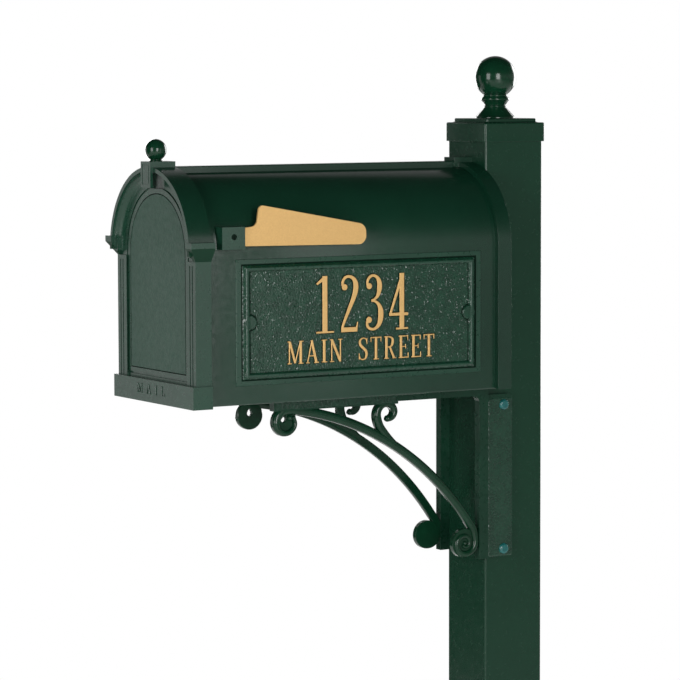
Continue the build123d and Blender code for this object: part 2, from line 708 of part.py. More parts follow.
with BuildPart() as door_pull:
    with BuildSketch(section(door_rear)):
        with Locations((0, (pull_top + spring_height) / 2)):
            Rectangle(2 * pull_half, pull_top - spring_height)
        with Locations((0, spring_height)):
            Circle(hood_radius + screw_fit, mode=Mode.SUBTRACT)
    extrude(amount=hood_depth)
    block(-pull_half, pull_half, hood_front - pull_leg, hood_front, pull_leg_bottom, pull_top)
    with BuildSketch(section(hood_front - pull_leg + line_depth)):
        with Locations((0, (pull_leg_bottom + pull_top) / 2)):
            Rectangle(2 * pull_half - 8, pull_top - pull_leg_bottom - 8)
            Rectangle(2 * pull_half - 8 - 2 * line_width, pull_top - pull_leg_bottom - 8 - 2 * line_width,
                      mode=Mode.SUBTRACT)
    extrude(amount=line_depth, mode=Mode.SUBTRACT)
    rod(level(spring_height, 0, ball_axis_y), pull_screw_radius + screw_fit, far / 2, mode=Mode.SUBTRACT)
pieces["door_pull"] = door_pull

with BuildPart() as pull_ball:
    with BuildSketch(Plane(origin=(0, ball_axis_y, box_height), x_dir=(1, 0, 0), z_dir=(0, -1, 0))):
        neck_height = ball_height - sqrt(ball_radius**2 - ball_neck**2)
        with BuildLine():
            Polyline(
                (0, pull_top),
                (ball_neck + 2.4, pull_top),
                (ball_neck + 1.0, pull_top + 1.2),
                (ball_neck, neck_height),
            )
            ball_top = ball_height + ball_radius
            ThreePointArc((ball_neck, neck_height), (ball_radius, ball_height), (0, ball_top))
            Line((0, ball_top), (0, pull_top))
        make_face()
    revolve(axis=Axis((0, ball_axis_y, box_height), (0, 0, 1)))
    rod(level(pull_top, 0, ball_axis_y), pull_screw_radius, 12.0, mode=Mode.SUBTRACT)
pieces["pull_ball"] = pull_ball

with BuildPart() as pull_screw:
    pull_head = roof_at(2 * pull_screw_radius, hood_radius - hood_rim) - screw_fit
    rod(level(pull_head, 0, ball_axis_y), pull_screw_radius, pull_top + 11.0 - pull_head)
    rod(level(pull_head - 3.0, 0, ball_axis_y), 1.9 * pull_screw_radius, 3.0)
pieces["pull_screw"] = pull_screw

with BuildPart() as strike_plate:
    block(-magnet_half, magnet_half, strike_front, strike_rear, magnet_bottom, magnet_top)
    strike_hole = strike_screw_radius + screw_fit
    rod(section(strike_rear), strike_hole, strike_thick, strike_screw_places, Mode.SUBTRACT)
    rod(section(strike_rear), 2 * strike_hole, strike_recess, strike_screw_places, Mode.SUBTRACT)
pieces["strike_plate"] = strike_plate

with BuildPart() as strike_screws:
    rod(section(strike_rear - 0.1), 2 * strike_screw_radius, 0.7, strike_screw_places)
    rod(section(strike_rear - strike_recess), strike_screw_radius, 9.0, strike_screw_places)
pieces["strike_screws"] = strike_screws

# ---------------------------------------------------------------- door hinges
leaf_thick = 2.2
leaf_length = 17.0
knuckle_clear = knuckle_radius + 0.6
knuckle_third = hinge_width / 3


def knuckle(x0, x1, tongue_y, tongue_top):
    """One stretch of hinge barrel about the door's axis, with the tongue that joins it to its leaf."""
    with BuildSketch(side(x0)) as barrel:
        with Locations((door_rear, hinge_height)):
            Circle(knuckle_radius)
        with Locations(((door_rear + tongue_y) / 2, (hinge_height + tongue_top) / 2)):
            Rectangle(abs(tongue_y - door_rear), tongue_top - hinge_height)
        with Locations((door_rear, hinge_height)):
            Circle(door_pin_radius + pin_fit, mode=Mode.SUBTRACT)
    extrude(barrel.sketch, amount=x1 - x0)


with BuildPart() as body_hinge_leaves:
    leaf_near = door_rear + knuckle_clear
    for x in hinge_centres:
        block(x - hinge_width / 2, x + hinge_width / 2, leaf_near, leaf_near + leaf_length, -leaf_thick, 0)
        for start in (x - hinge_width / 2, x + knuckle_third / 2 + running / 2):
            end = start + knuckle_third - running / 2
            knuckle(start, end, leaf_near, -door_drop - running)
            block(start, end, door_rear + door_gap / 2, leaf_near, hinge_height, 0)
    rod(side(-far / 2), door_pin_radius + pin_fit, far, [(door_rear, hinge_height)], Mode.SUBTRACT)
    rod(level(-leaf_thick), hinge_screw_radius, leaf_thick, hinge_screw_places, Mode.SUBTRACT)
pieces["body_hinge_leaves"] = body_hinge_leaves

with BuildPart() as door_hinge_leaves:
    leaf_near = door_rear - knuckle_clear
    leaf_under = -door_drop - leaf_thick
    for x in hinge_centres:
        block(x - hinge_width / 2, x + hinge_width / 2, leaf_near - leaf_length, leaf_near,
              leaf_under, -door_drop)
        middle_half = (knuckle_third - running) / 2
        knuckle(x - middle_half, x + middle_half, leaf_near, -door_drop - running)
    leaf_hole = hinge_screw_radius + screw_fit
    rod(level(leaf_under), leaf_hole, leaf_thick, door_hinge_screw_places, Mode.SUBTRACT)
pieces["door_hinge_leaves"] = door_hinge_leaves

with BuildPart() as hinge_pins:
    for x in hinge_centres:
        rod(side(x - hinge_width / 2 - 1), door_pin_radius, hinge_width + 2, [(door_rear, hinge_height)])
        rod(side(x - hinge_width / 2 - 2), door_pin_radius + 0.8, 1.6, [(door_rear, hinge_height)])
pieces["hinge_pins"] = hinge_pins

with BuildPart() as body_hinge_screws:
    rod(level(-leaf_thick), hinge_screw_radius, leaf_thick + floor_top, hinge_screw_places)
    rod(level(floor_top), 2 * hinge_screw_radius, 1.6, hinge_screw_places)
pieces["body_hinge_screws"] = body_hinge_screws

with BuildPart() as door_hinge_screws:
    rod(level(leaf_under), hinge_screw_radius, leaf_thick + 8.0, door_hinge_screw_places)
    rod(level(leaf_under - 1.2), 2 * hinge_screw_radius, 1.2, door_hinge_screw_places)
pieces["door_hinge_screws"] = door_hinge_screws

# ---------------------------------------------------------------- flag and its clevis
washer_thick = 1.0
head_recess = 1.5
flag_outer = mount_out - mount_cheek - running
flag_inner = flag_outer - flag_thick
slot_inner = flag_inner - washer_thick - running
mount_base = body_half - 25
heel = (flag_pivot[0] + 37.3, flag_top_edge + 1.7)
crest = (flag_pivot[0] + 41.8, flag_pivot[1] + flag_crest)
tip_top = (flag_pivot[0] + flag_length, flag_pivot[1] + 12.0)
tip_bottom = (flag_pivot[0] + flag_length, flag_pivot[1] - 16.2)

with BuildPart() as flag:
    with BuildSketch(side(flag_inner)) as flag_outline:
        with BuildLine():
            Polyline(
                (flag_pivot[0], flag_top_edge),
                (heel[0] - 15.5, flag_top_edge),
                heel,
                crest,
                tip_top,
                tip_bottom,
                (flag_pivot[0], flag_low_edge),
                close=True,
            )
        make_face()
        for corner, radius in ((heel, 10.0), (crest, 6.5), (tip_top, 13.0), (tip_bottom, 12.0)):
            fillet(flag_outline.vertices().sort_by_distance((*corner, 0))[0], radius=radius)
        with Locations(flag_pivot):
            Circle(flag_hub_radius)
            Circle(flag_screw_radius + pin_fit, mode=Mode.SUBTRACT)
    extrude(amount=flag_thick)
pieces["flag"] = flag

with BuildPart() as flag_mount:
    block(mount_base, mount_out, mount_front, mount_rear, mount_bottom, mount_top)
    rod(section(mount_rear + 1), body_half + screw_fit, far / 8, [(0, spring_height)], Mode.SUBTRACT)
    block(slot_inner, mount_out - mount_cheek, slot_front, mount_rear,
          flag_low_edge - running, mount_top, mode=Mode.SUBTRACT)
    rod(side(mount_base), flag_screw_radius + screw_fit, far, [flag_pivot], Mode.SUBTRACT)
    rod(side(mount_out - head_recess), 4.3, head_recess, [flag_pivot], Mode.SUBTRACT)
    blind_depth = slot_inner - mount_base - 1.5
    rod(side(mount_base), mount_screw_radius, blind_depth, mount_screw_places, Mode.SUBTRACT)
pieces["flag_mount"] = flag_mount

with BuildPart() as flag_screw:
    nut_outer = sqrt(roof_inner**2 - (flag_pivot[1] + 5 - spring_height) ** 2) - 0.1
    nut_inner = nut_outer - 4.5
    rod(side(nut_inner - 1), flag_screw_radius, mount_out - head_recess - nut_inner + 1, [flag_pivot])
    rod(side(mount_out - head_recess), 4.0, head_recess - 0.3, [flag_pivot])
    block(mount_out - 0.9, mount_out, flag_pivot[0] - 0.5, flag_pivot[0] + 0.5,
          flag_pivot[1] - 3, flag_pivot[1] + 3, mode=Mode.SUBTRACT)
pieces["flag_screw"] = flag_screw

with BuildPart() as flag_washer:
    rod(side(slot_inner), 8.0, washer_thick, [flag_pivot])
    rod(side(slot_inner), flag_screw_radius + screw_fit, washer_thick, [flag_pivot], Mode.SUBTRACT)
pieces["flag_washer"] = flag_washer

with BuildPart() as flag_nut:
    with BuildSketch(side(nut_inner)):
        with Locations(flag_pivot):
            RegularPolygon(radius=5.0, side_count=6)
            Circle(flag_screw_radius, mode=Mode.SUBTRACT)
    extrude(amount=nut_outer - nut_inner)
pieces["flag_nut"] = flag_nut

with BuildPart() as mount_screws:
    for y, z in mount_screw_places:
        wall_inside = sqrt(roof_inner**2 - (z + 2 * mount_screw_radius - spring_height) ** 2) - 0.1
        rod(side(wall_inside), mount_screw_radius, slot_inner - 3 - wall_inside, [(y, z)])
        rod(side(wall_inside - 2), 2 * mount_screw_radius, 2, [(y, z)])
pieces["mount_screws"] = mount_screws

# ---------------------------------------------------------------- side plaques
band_side = 10.5
band_end = 5.7
border_slope = 3.0

with BuildPart() as right_plaque:
    block(body_half, body_half + plaque_back, plaque_front, plaque_rear, plaque_bottom, plaque_top)
    block(body_half, body_half + plaque_border, plaque_front + band_side, plaque_rear - band_side,
          plaque_bottom + band_end, plaque_top - band_end)
    chamfer(right_plaque.faces().sort_by(Axis.X)[-1].edges(), length=border_slope)
    with BuildSketch(side(body_half + plaque_border - field_depth)):
        with Locations(((field_front + field_rear) / 2, (field_bottom + field_top) / 2)):
            Rectangle(field_rear - field_front, field_top - field_bottom)
        with Locations((field_front, plaque_screw_height), (field_rear, plaque_screw_height)):
            Circle(lug_radius, mode=Mode.SUBTRACT)
    extrude(amount=field_depth, mode=Mode.SUBTRACT)
    rod(side(body_half), plaque_screw_radius, plaque_border - 1, plaque_screw_places, Mode.SUBTRACT)
pieces["right_plaque"] = right_plaque

with BuildPart() as plaque_screws:
    rod(side(roof_inner), plaque_screw_radius, sheet + plaque_border - 1.5, plaque_screw_places)
    rod(side(roof_inner - 2), 2 * plaque_screw_radius, 2, plaque_screw_places)
    mirror(about=Plane.YZ)
pieces["plaque_screws"] = plaque_screws

# ---------------------------------------------------------------- left copies of the right-hand pieces
for right_name in ("right_bracket", "right_scroll", "right_plaque"):
    with BuildPart() as left_piece:
        mirror(pieces[right_name].part, about=Plane.YZ)
    pieces[right_name.replace("right", "left")] = left_piece

for name, piece in pieces.items():
    piece.part.label = name
    export_step(piece.part, f"parts/{name}.step")
    print(name, len(piece.part.solids()), round(piece.part.volume))
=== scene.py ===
import math

import bmesh
import bpy
import numpy as np
from mathutils import Matrix, Vector


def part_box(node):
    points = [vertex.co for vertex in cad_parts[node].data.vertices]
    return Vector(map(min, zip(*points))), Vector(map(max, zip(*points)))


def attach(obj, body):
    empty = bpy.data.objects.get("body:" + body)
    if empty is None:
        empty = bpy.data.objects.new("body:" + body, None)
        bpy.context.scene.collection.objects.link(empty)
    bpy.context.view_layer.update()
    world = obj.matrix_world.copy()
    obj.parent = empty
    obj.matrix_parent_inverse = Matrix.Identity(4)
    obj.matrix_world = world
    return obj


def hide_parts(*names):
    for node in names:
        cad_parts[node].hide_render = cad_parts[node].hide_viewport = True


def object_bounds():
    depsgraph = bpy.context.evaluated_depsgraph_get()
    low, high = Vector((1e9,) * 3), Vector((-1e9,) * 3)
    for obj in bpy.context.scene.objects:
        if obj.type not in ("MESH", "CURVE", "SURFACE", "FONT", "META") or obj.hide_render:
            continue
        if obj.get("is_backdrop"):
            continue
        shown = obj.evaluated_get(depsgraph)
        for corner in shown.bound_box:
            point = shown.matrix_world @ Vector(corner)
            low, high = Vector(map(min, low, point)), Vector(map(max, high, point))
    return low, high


# Looks of a curbside post box: green powder coat, gold numerals and flag, glossy scrolls and finial.
# Measures are in millimetres, in the same frame as the CAD model, and putMesh makes them metres. Only the
# floor, the camera and the lights are given in metres.

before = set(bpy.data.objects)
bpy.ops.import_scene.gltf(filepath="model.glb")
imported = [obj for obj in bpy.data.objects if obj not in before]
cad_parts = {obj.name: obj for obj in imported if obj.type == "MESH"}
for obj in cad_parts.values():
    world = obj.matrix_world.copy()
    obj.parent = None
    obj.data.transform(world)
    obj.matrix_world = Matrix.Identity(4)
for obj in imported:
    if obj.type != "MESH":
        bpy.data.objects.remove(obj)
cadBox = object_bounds()
mm = 0.001
shownNodes = set(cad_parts)
print("frame loaded,", len(shownNodes), "nodes")


def cadPlace(node):
    # lowest and highest corner of a CAD node, in millimetres
    low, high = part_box(node)
    return np.array(low) / mm, np.array(high) / mm


def addObject(name, data):
    # a new object in the scene, at the origin and unturned
    thing = bpy.data.objects.new(name, data)
    bpy.context.scene.collection.objects.link(thing)
    return thing


def gridFaces(rows, columns, closedColumns=True, closedRows=False):
    # four-sided faces between each row and column of a grid of points and the next ones
    row = np.arange(rows if closedRows else rows - 1)
    column = np.arange(columns if closedColumns else columns - 1)
    row, column = np.meshgrid(row, column, indexing="ij")
    nextRow, nextColumn = (row + 1) % rows, (column + 1) % columns
    corners = [
        row * columns + column,
        row * columns + nextColumn,
        nextRow * columns + nextColumn,
        nextRow * columns + column,
    ]
    return np.stack(corners, -1).reshape(-1, 4)


def ringCaps(rows, columns):
    # the first and the last row of a closed grid, each as one face
    return [list(range(columns)), [(rows - 1) * columns + i for i in range(columns)]]


def rimOf(rows, columns):
    # the points along the edge of an open grid, once round
    return np.concatenate([
        np.arange(columns), np.arange(1, rows) * columns + columns - 1,
        (rows - 1) * columns + np.arange(columns - 2, -1, -1), np.arange(rows - 2, 0, -1) * columns,
    ])


def joined(parts):
    # several (points, faces, paint numbers) as one, with the faces of each counted on from the last
    points, faces, paints, start = [], [], [], 0
    for some, itsFaces, itsPaints in parts:
        points.append(some.reshape(-1, 3))
        faces += [[index + start for index in face] for face in itsFaces]
        paints += list(itsPaints)
        start += len(points[-1])
    return np.concatenate(points), faces, paints


def finishMesh(piece, crease, body, replaced):
    # closes seams and poles, turns faces outwards, and leaves edges sharper than the crease angle crisp
    work = bmesh.new()
    work.from_mesh(piece.data)
    bmesh.ops.remove_doubles(work, verts=work.verts, dist=1e-6)
    bmesh.ops.dissolve_degenerate(work, edges=work.edges, dist=1e-7)
    bmesh.ops.recalc_face_normals(work, faces=work.faces)
    work.to_mesh(piece.data)
    work.free()
    piece.data.shade_smooth()
    piece.data.set_sharp_from_angle(angle=math.radians(crease))
    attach(piece, body)
    if replaced:
        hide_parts(*replaced)


def putMesh(name, points, faces, body, paints, facePaints=None, crease=32, replaced=()):
    # a piece from points in millimetres
    mesh = bpy.data.meshes.new(name)
    plain = faces.tolist() if isinstance(faces, np.ndarray) else [list(map(int, face)) for face in faces]
    mesh.from_pydata((points.reshape(-1, 3) * mm).tolist(), [], plain)
    for paint in paints:
        mesh.materials.append(paint)
    if facePaints is not None:
        mesh.polygons.foreach_set("material_index", np.array(facePaints, np.int32))
    finishMesh(addObject(name, mesh), crease, body, replaced)


# edges sharper than the angle are rolled, and faces that lie flat within the other angle are merged first
bevelLook = {"segments": 3, "angle": 28, "flatWithin": 0.4}


def softened(name, node, body, paint, width, patches):
    # a merged copy of a CAD node with its hard edges rolled over by a bevel; each patch is another paint
    # and a test of place, and covers each face whose corners all pass
    piece = addObject(name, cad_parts[node].data.copy())
    piece.data.name = name
    piece.data.materials.clear()
    piece.data.materials.append(paint)
    work = bmesh.new()
    work.from_mesh(piece.data)
    bmesh.ops.remove_doubles(work, verts=work.verts, dist=2e-6)
    bmesh.ops.dissolve_limit(
        work, angle_limit=math.radians(bevelLook["flatWithin"]), verts=work.verts, edges=work.edges,
        use_dissolve_boundaries=False,
    )
    work.to_mesh(piece.data)
    work.free()
    if "custom_normal" in piece.data.attributes:
        piece.data.attributes.remove(piece.data.attributes["custom_normal"])
    piece.data.shade_smooth()
    if patches:
        places = np.zeros(len(piece.data.vertices) * 3)
        piece.data.vertices.foreach_get("co", places)
        corners = np.zeros(len(piece.data.loops), int)
        piece.data.loops.foreach_get("vertex_index", corners)
        starts = np.zeros(len(piece.data.polygons), int)
        piece.data.polygons.foreach_get("loop_start", starts)
        chosen = np.zeros(len(starts), np.int32)
        for index, (patchPaint, test) in enumerate(patches):
            piece.data.materials.append(patchPaint)
            chosen[np.logical_and.reduceat(test(places.reshape(-1, 3) / mm)[corners], starts)] = index + 1
        piece.data.polygons.foreach_set("material_index", chosen)
    bevel = piece.modifiers.new("rolled edges", "BEVEL")
    bevel.width = width * mm
    bevel.segments = bevelLook["segments"]
    bevel.limit_method = "ANGLE"
    bevel.angle_limit = math.radians(bevelLook["angle"])
    bevel.miter_outer = "MITER_ARC"
    weighted = piece.modifiers.new("flat faces stay flat", "WEIGHTED_NORMAL")
    weighted.keep_sharp = False
    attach(piece, body)
    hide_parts(node)


def smoothed(points, perSpan=8):
    # Catmull-Rom: each span is a cubic that passes through its two ends, with slopes from their neighbours
    points = np.asarray(points, float)
    padded = np.vstack([2 * points[0] - points[1], points, 2 * points[-1] - points[-2]])
    t = np.linspace(0, 1, perSpan, endpoint=False)[None, :, None]
    a, b, c, d = (padded[i:len(padded) - 3 + i][:, None, :] for i in range(4))
    curve = 0.5 * (2 * b + (c - a) * t + (2 * a - 5 * b + 4 * c - d) * t**2 + (3 * b - a - 3 * c + d) * t**3)
    return np.vstack([curve.reshape(-1, points.shape[1]), points[-1:]])


def acrossOf(path):
    # directions square to a flat line, to its left
    along = np.gradient(path, axis=0)
    along /= np.linalg.norm(along, axis=1)[:, None]
    return np.column_stack([-along[:, 1], along[:, 0]])


def rounded(points, radius, steps=5):
    # an open line whose inner corners are replaced by short parabolas that start radius before the corner
    points = np.asarray(points, float)
    radius = np.broadcast_to(radius, len(points))
    line = [points[:1]]
    t = np.linspace(0, 1, steps)[:, None]
    for i in range(1, len(points) - 1):
        back, ahead = points[i - 1] - points[i], points[i + 1] - points[i]
        reachBack = min(radius[i], 0.48 * np.linalg.norm(back))
        reachAhead = min(radius[i], 0.48 * np.linalg.norm(ahead))
        start = points[i] + back / np.linalg.norm(back) * reachBack
        end = points[i] + ahead / np.linalg.norm(ahead) * reachAhead
        line.append((1 - t) ** 2 * start + 2 * t * (1 - t) * points[i] + t**2 * end)
    line.append(points[-1:])
    return np.vstack(line)


def turned(profile, centre, count=96):
    # lathe: each (radius, height) of the profile becomes a circle about an upright axis
    angle = np.linspace(0, 2 * np.pi, count, endpoint=False)
    radius, height = profile[:, 0][:, None], profile[:, 1][:, None]
    grid = np.stack([radius * np.cos(angle), radius * np.sin(angle), height + 0 * angle], -1) + centre
    return grid, gridFaces(len(profile), count)


def rolledNoise(shape, spacing, low, high, seed):
    # random heights with only the waves between two lengths left in, scaled to a spread of 1
    rng = np.random.default_rng(seed)
    field = np.fft.rfft2(rng.standard_normal(shape))
    fy = np.fft.fftfreq(shape[0], spacing)[:, None]
    fx = np.fft.rfftfreq(shape[1], spacing)[None, :]
    size = np.hypot(fy, fx)
    field *= np.exp(-((size * low) ** 2)) * (1 - np.exp(-((size * high) ** 2)))
    heights = np.fft.irfft2(field, shape)
    return heights / heights.std()


# two tones, waves of colour per metre, least and most roughness, waves and height of the fine bumps
paintLooks = {
    "green_satin": {
        "light": (0.0066, 0.039, 0.0218), "dark": (0.0046, 0.031, 0.0170), "clouds": 7,
        "rough": (0.26, 0.33), "specular": 0.5, "peel": 420, "peelHeight": 0.00002,
    },
    "green_roof": {
        "light": (0.0036, 0.027, 0.0142), "dark": (0.0026, 0.021, 0.0108), "clouds": 6,
        "rough": (0.20, 0.27), "specular": 0.5, "peel": 380, "peelHeight": 0.000012, "coat": 0.1,
    },
    "green_post": {
        "light": (0.0046, 0.031, 0.0160), "dark": (0.0036, 0.026, 0.0130), "clouds": 5,
        "rough": (0.22, 0.28), "specular": 0.28, "peel": 420, "peelHeight": 0.000015,
    },
    "green_bracket": {
        "light": (0.0040, 0.029, 0.0150), "dark": (0.0028, 0.022, 0.0112), "clouds": 20,
        "rough": (0.24, 0.36), "specular": 0.26, "peel": 330, "peelHeight": 0.00012,
    },
    # a duller, darker copy of the satin green: painted shade under the door's cornices
    "green_shade": {
        "light": (0.0050, 0.029, 0.0150), "dark": (0.0036, 0.024, 0.0120), "clouds": 7,
        "rough": (0.34, 0.42), "specular": 0.12, "peel": 420, "peelHeight": 0.00002,
    },
    "green_gloss": {
        "light": (0.0034, 0.028, 0.0130), "dark": (0.0024, 0.021, 0.0092), "clouds": 30,
        "rough": (0.13, 0.19), "specular": 0.25, "peel": 260, "peelHeight": 0.000006, "coat": 0.1,
    },
    "green_speckled": {
        "light": (0.0125, 0.054, 0.0330), "dark": (0.0062, 0.036, 0.0205), "clouds": 520,
        "rough": (0.34, 0.46), "specular": 0.4, "peel": 330, "peelHeight": 0.00030,
    },
    "green_pebbled": {
        "light": (0.0052, 0.036, 0.0190), "dark": (0.0030, 0.025, 0.0128), "clouds": 60,
        "rough": (0.14, 0.26), "specular": 0.5, "peel": 300, "peelHeight": 0.00036,
    },
    # the darkest green, with little gloss: painted shade in grooves and recesses, on the sides of raised
    # letters and in plates under them, and on the flag's recessed screw
    "green_recess": {
        "light": (0.0014, 0.0100, 0.0052), "dark": (0.0010, 0.0068, 0.0034), "clouds": 60,
        "rough": (0.5, 0.7), "specular": 0.08, "peel": 300, "peelHeight": 0.00002,
    },
    "gold_flecked": {
        "light": (0.64, 0.405, 0.155), "dark": (0.53, 0.325, 0.115), "clouds": 900,
        "rough": (0.36, 0.52), "specular": 0.5, "peel": 560, "peelHeight": 0.00010,
        "metallic": 0.35,
    },
    "teal_cap": {
        "light": (0.008, 0.105, 0.100), "dark": (0.005, 0.070, 0.068), "clouds": 160,
        "rough": (0.18, 0.28), "specular": 0.5, "peel": 300, "peelHeight": 0.00002, "coat": 0.2,
    },
    "steel_plain": {
        "light": (0.55, 0.56, 0.57), "dark": (0.40, 0.41, 0.42), "clouds": 220,
        "rough": (0.24, 0.42), "specular": 0.5, "peel": 900, "peelHeight": 0.00002,
        "metallic": 0.95,
    },
    "rubber_black": {
        "light": (0.026, 0.026, 0.026), "dark": (0.014, 0.014, 0.014), "clouds": 300,
        "rough": (0.72, 0.9), "specular": 0.35, "peel": 800, "peelHeight": 0.00008,
    },
    "magnet_grey": {
        "light": (0.055, 0.056, 0.060), "dark": (0.034, 0.034, 0.038), "clouds": 240,
        "rough": (0.5, 0.66), "specular": 0.5, "peel": 700, "peelHeight": 0.00006,
    },
    "nylon_pale": {
        "light": (0.76, 0.74, 0.69), "dark": (0.64, 0.62, 0.57), "clouds": 180,
        "rough": (0.42, 0.55), "specular": 0.5, "peel": 500, "peelHeight": 0.00003,
    },
}


mixLook = {
    # where the clouds turn dark and light, and where the waves of gloss turn smooth and rough
    "tones": (0.35, 0.68), "glossFrom": (0.3, 0.7),
    # detail and roughness of each noise, and the waves of gloss for each wave of the bumps
    "cloudWaves": (3.0, 0.6), "glossWaves": (2.0, 0.5), "bumpWaves": (2.0, 0.55), "glossShare": 0.35,
    "coatRoughness": 0.06,
}


def setSockets(node, values):
    for socket, value in values.items():
        node.inputs[socket].default_value = value


def rampOf(nodes, stops):
    # a colour ramp through positions and tones, each tone a colour or one number for a grey
    tone = nodes.new("ShaderNodeValToRGB")
    elements = tone.color_ramp.elements
    for index, (position, value) in enumerate(stops):
        stop = elements[index] if index < 2 else elements.new(position)
        stop.position = position
        stop.color = (*np.broadcast_to(value, 3), 1)
    return tone


def mixPaint(name):
    # two close tones clouded together, an uneven gloss and a fine skin of bumps, all by place on the object
    look = paintLooks[name]
    material = bpy.data.materials.new(name)
    material.use_nodes = True
    nodes, links = material.node_tree.nodes, material.node_tree.links
    shader = nodes["Principled BSDF"]
    setSockets(shader, {
        "Specular IOR Level": look["specular"], "Coat Weight": look.get("coat", 0.0),
        "Coat Roughness": mixLook["coatRoughness"], "Metallic": look.get("metallic", 0.0),
    })
    place = nodes.new("ShaderNodeTexCoord").outputs["Object"]

    def waves(scale, detail, roughness):
        noise = nodes.new("ShaderNodeTexNoise")
        setSockets(noise, {"Scale": scale, "Detail": detail, "Roughness": roughness})
        links.new(place, noise.inputs["Vector"])
        return noise.outputs["Fac"]

    tone = rampOf(nodes, zip(mixLook["tones"], (look["dark"], look["light"])))
    links.new(waves(look["clouds"], *mixLook["cloudWaves"]), tone.inputs["Fac"])
    links.new(tone.outputs["Color"], shader.inputs["Base Color"])
    gloss = nodes.new("ShaderNodeMapRange")
    setSockets(gloss, {
        "From Min": mixLook["glossFrom"][0], "From Max": mixLook["glossFrom"][1],
        "To Min": look["rough"][0], "To Max": look["rough"][1],
    })
    links.new(waves(look["peel"] * mixLook["glossShare"], *mixLook["glossWaves"]), gloss.inputs["Value"])
    links.new(gloss.outputs["Result"], shader.inputs["Roughness"])
    skin = nodes.new("ShaderNodeBump")
    setSockets(skin, {"Strength": 1.0, "Distance": look["peelHeight"]})
    links.new(waves(look["peel"], *mixLook["bumpWaves"]), skin.inputs["Height"])
    links.new(skin.outputs["Normal"], shader.inputs["Normal"])
    return material


paints = {name: mixPaint(name) for name in paintLooks}
print("paints mixed:", ", ".join(paints))


def between(values, low, high):
    return (values > low) & (values < high)


plaqueLook = {
    # distance in from the plaque's end, height above the box side: plate, groove, ridge, field
    "sideStations": (0.0, 0.5, 8.2, 8.8, 10.2, 10.6, 14.6, 15.4, 18.4, 19.0, 21.6, 22.0),
    "heights": (0.7, 1.3, 1.3, 0.2, 0.2, 0.9, 4.1, 4.5, 4.5, 4.2, 1.8, 1.5),
    # the frame is this much narrower along the top and the bottom
    "topScale": 17.5 / 22.0, "fieldStep": 1.0,
    # pebbles of the field: height, how far in they start and come to full height, and limits of the waves
    "pebbleHeight": 0.27, "fieldStart": 21.6, "fieldFade": 1.2, "pebbleLimits": (-1.5, 2.0),
    # noise: samples in all and per millimetre, shortest and longest waves, and share of the fine ones
    "noiseShape": (256, 512), "samplesUp": 1.3, "samplesAlong": 1.2,
    "coarseWaves": (1.9, 5.0), "fineWaves": (1.0, 2.4), "fineShare": 0.3, "seed": 4,
    # grit on the ridge's two slopes
    "bevelGrit": 0.26, "slopes": ((10.6, 14.8), (19.0, 21.8)),
    # round lugs: radius, width of the rounded edge, distance in from the end, height from middle to edge
    "lugRadius": 11.0, "lugEdge": 1.4, "lugIn": 22, "lugHeights": (4.3, 4.2, 0.0),
    # paints: pebbled within the first band and past a distance; painted shade in the other bands and in a
    # ring round the lugs
    "pebbledBand": (10.4, 15.0), "pebbledFrom": 18.9, "darkBands": ((8.3, 10.7), (21.2, 22.6)),
    "darkOffLug": 1.0, "lugRing": (0.2, 0.95),
}


def stations(low, high, scale):
    # places of the frame's breaks at both ends, with even steps between them
    step = plaqueLook["fieldStep"]
    breaks = np.array(plaqueLook["sideStations"]) * scale
    extra = np.linspace(breaks[5], breaks[6], 5)[1:-1]
    ends = np.sort(np.concatenate([breaks, extra]))
    inner = np.arange(low + breaks[-1] + step, high - breaks[-1] - 0.4 * step, step)
    return np.concatenate([low + ends, inner, (high - ends)[::-1]])


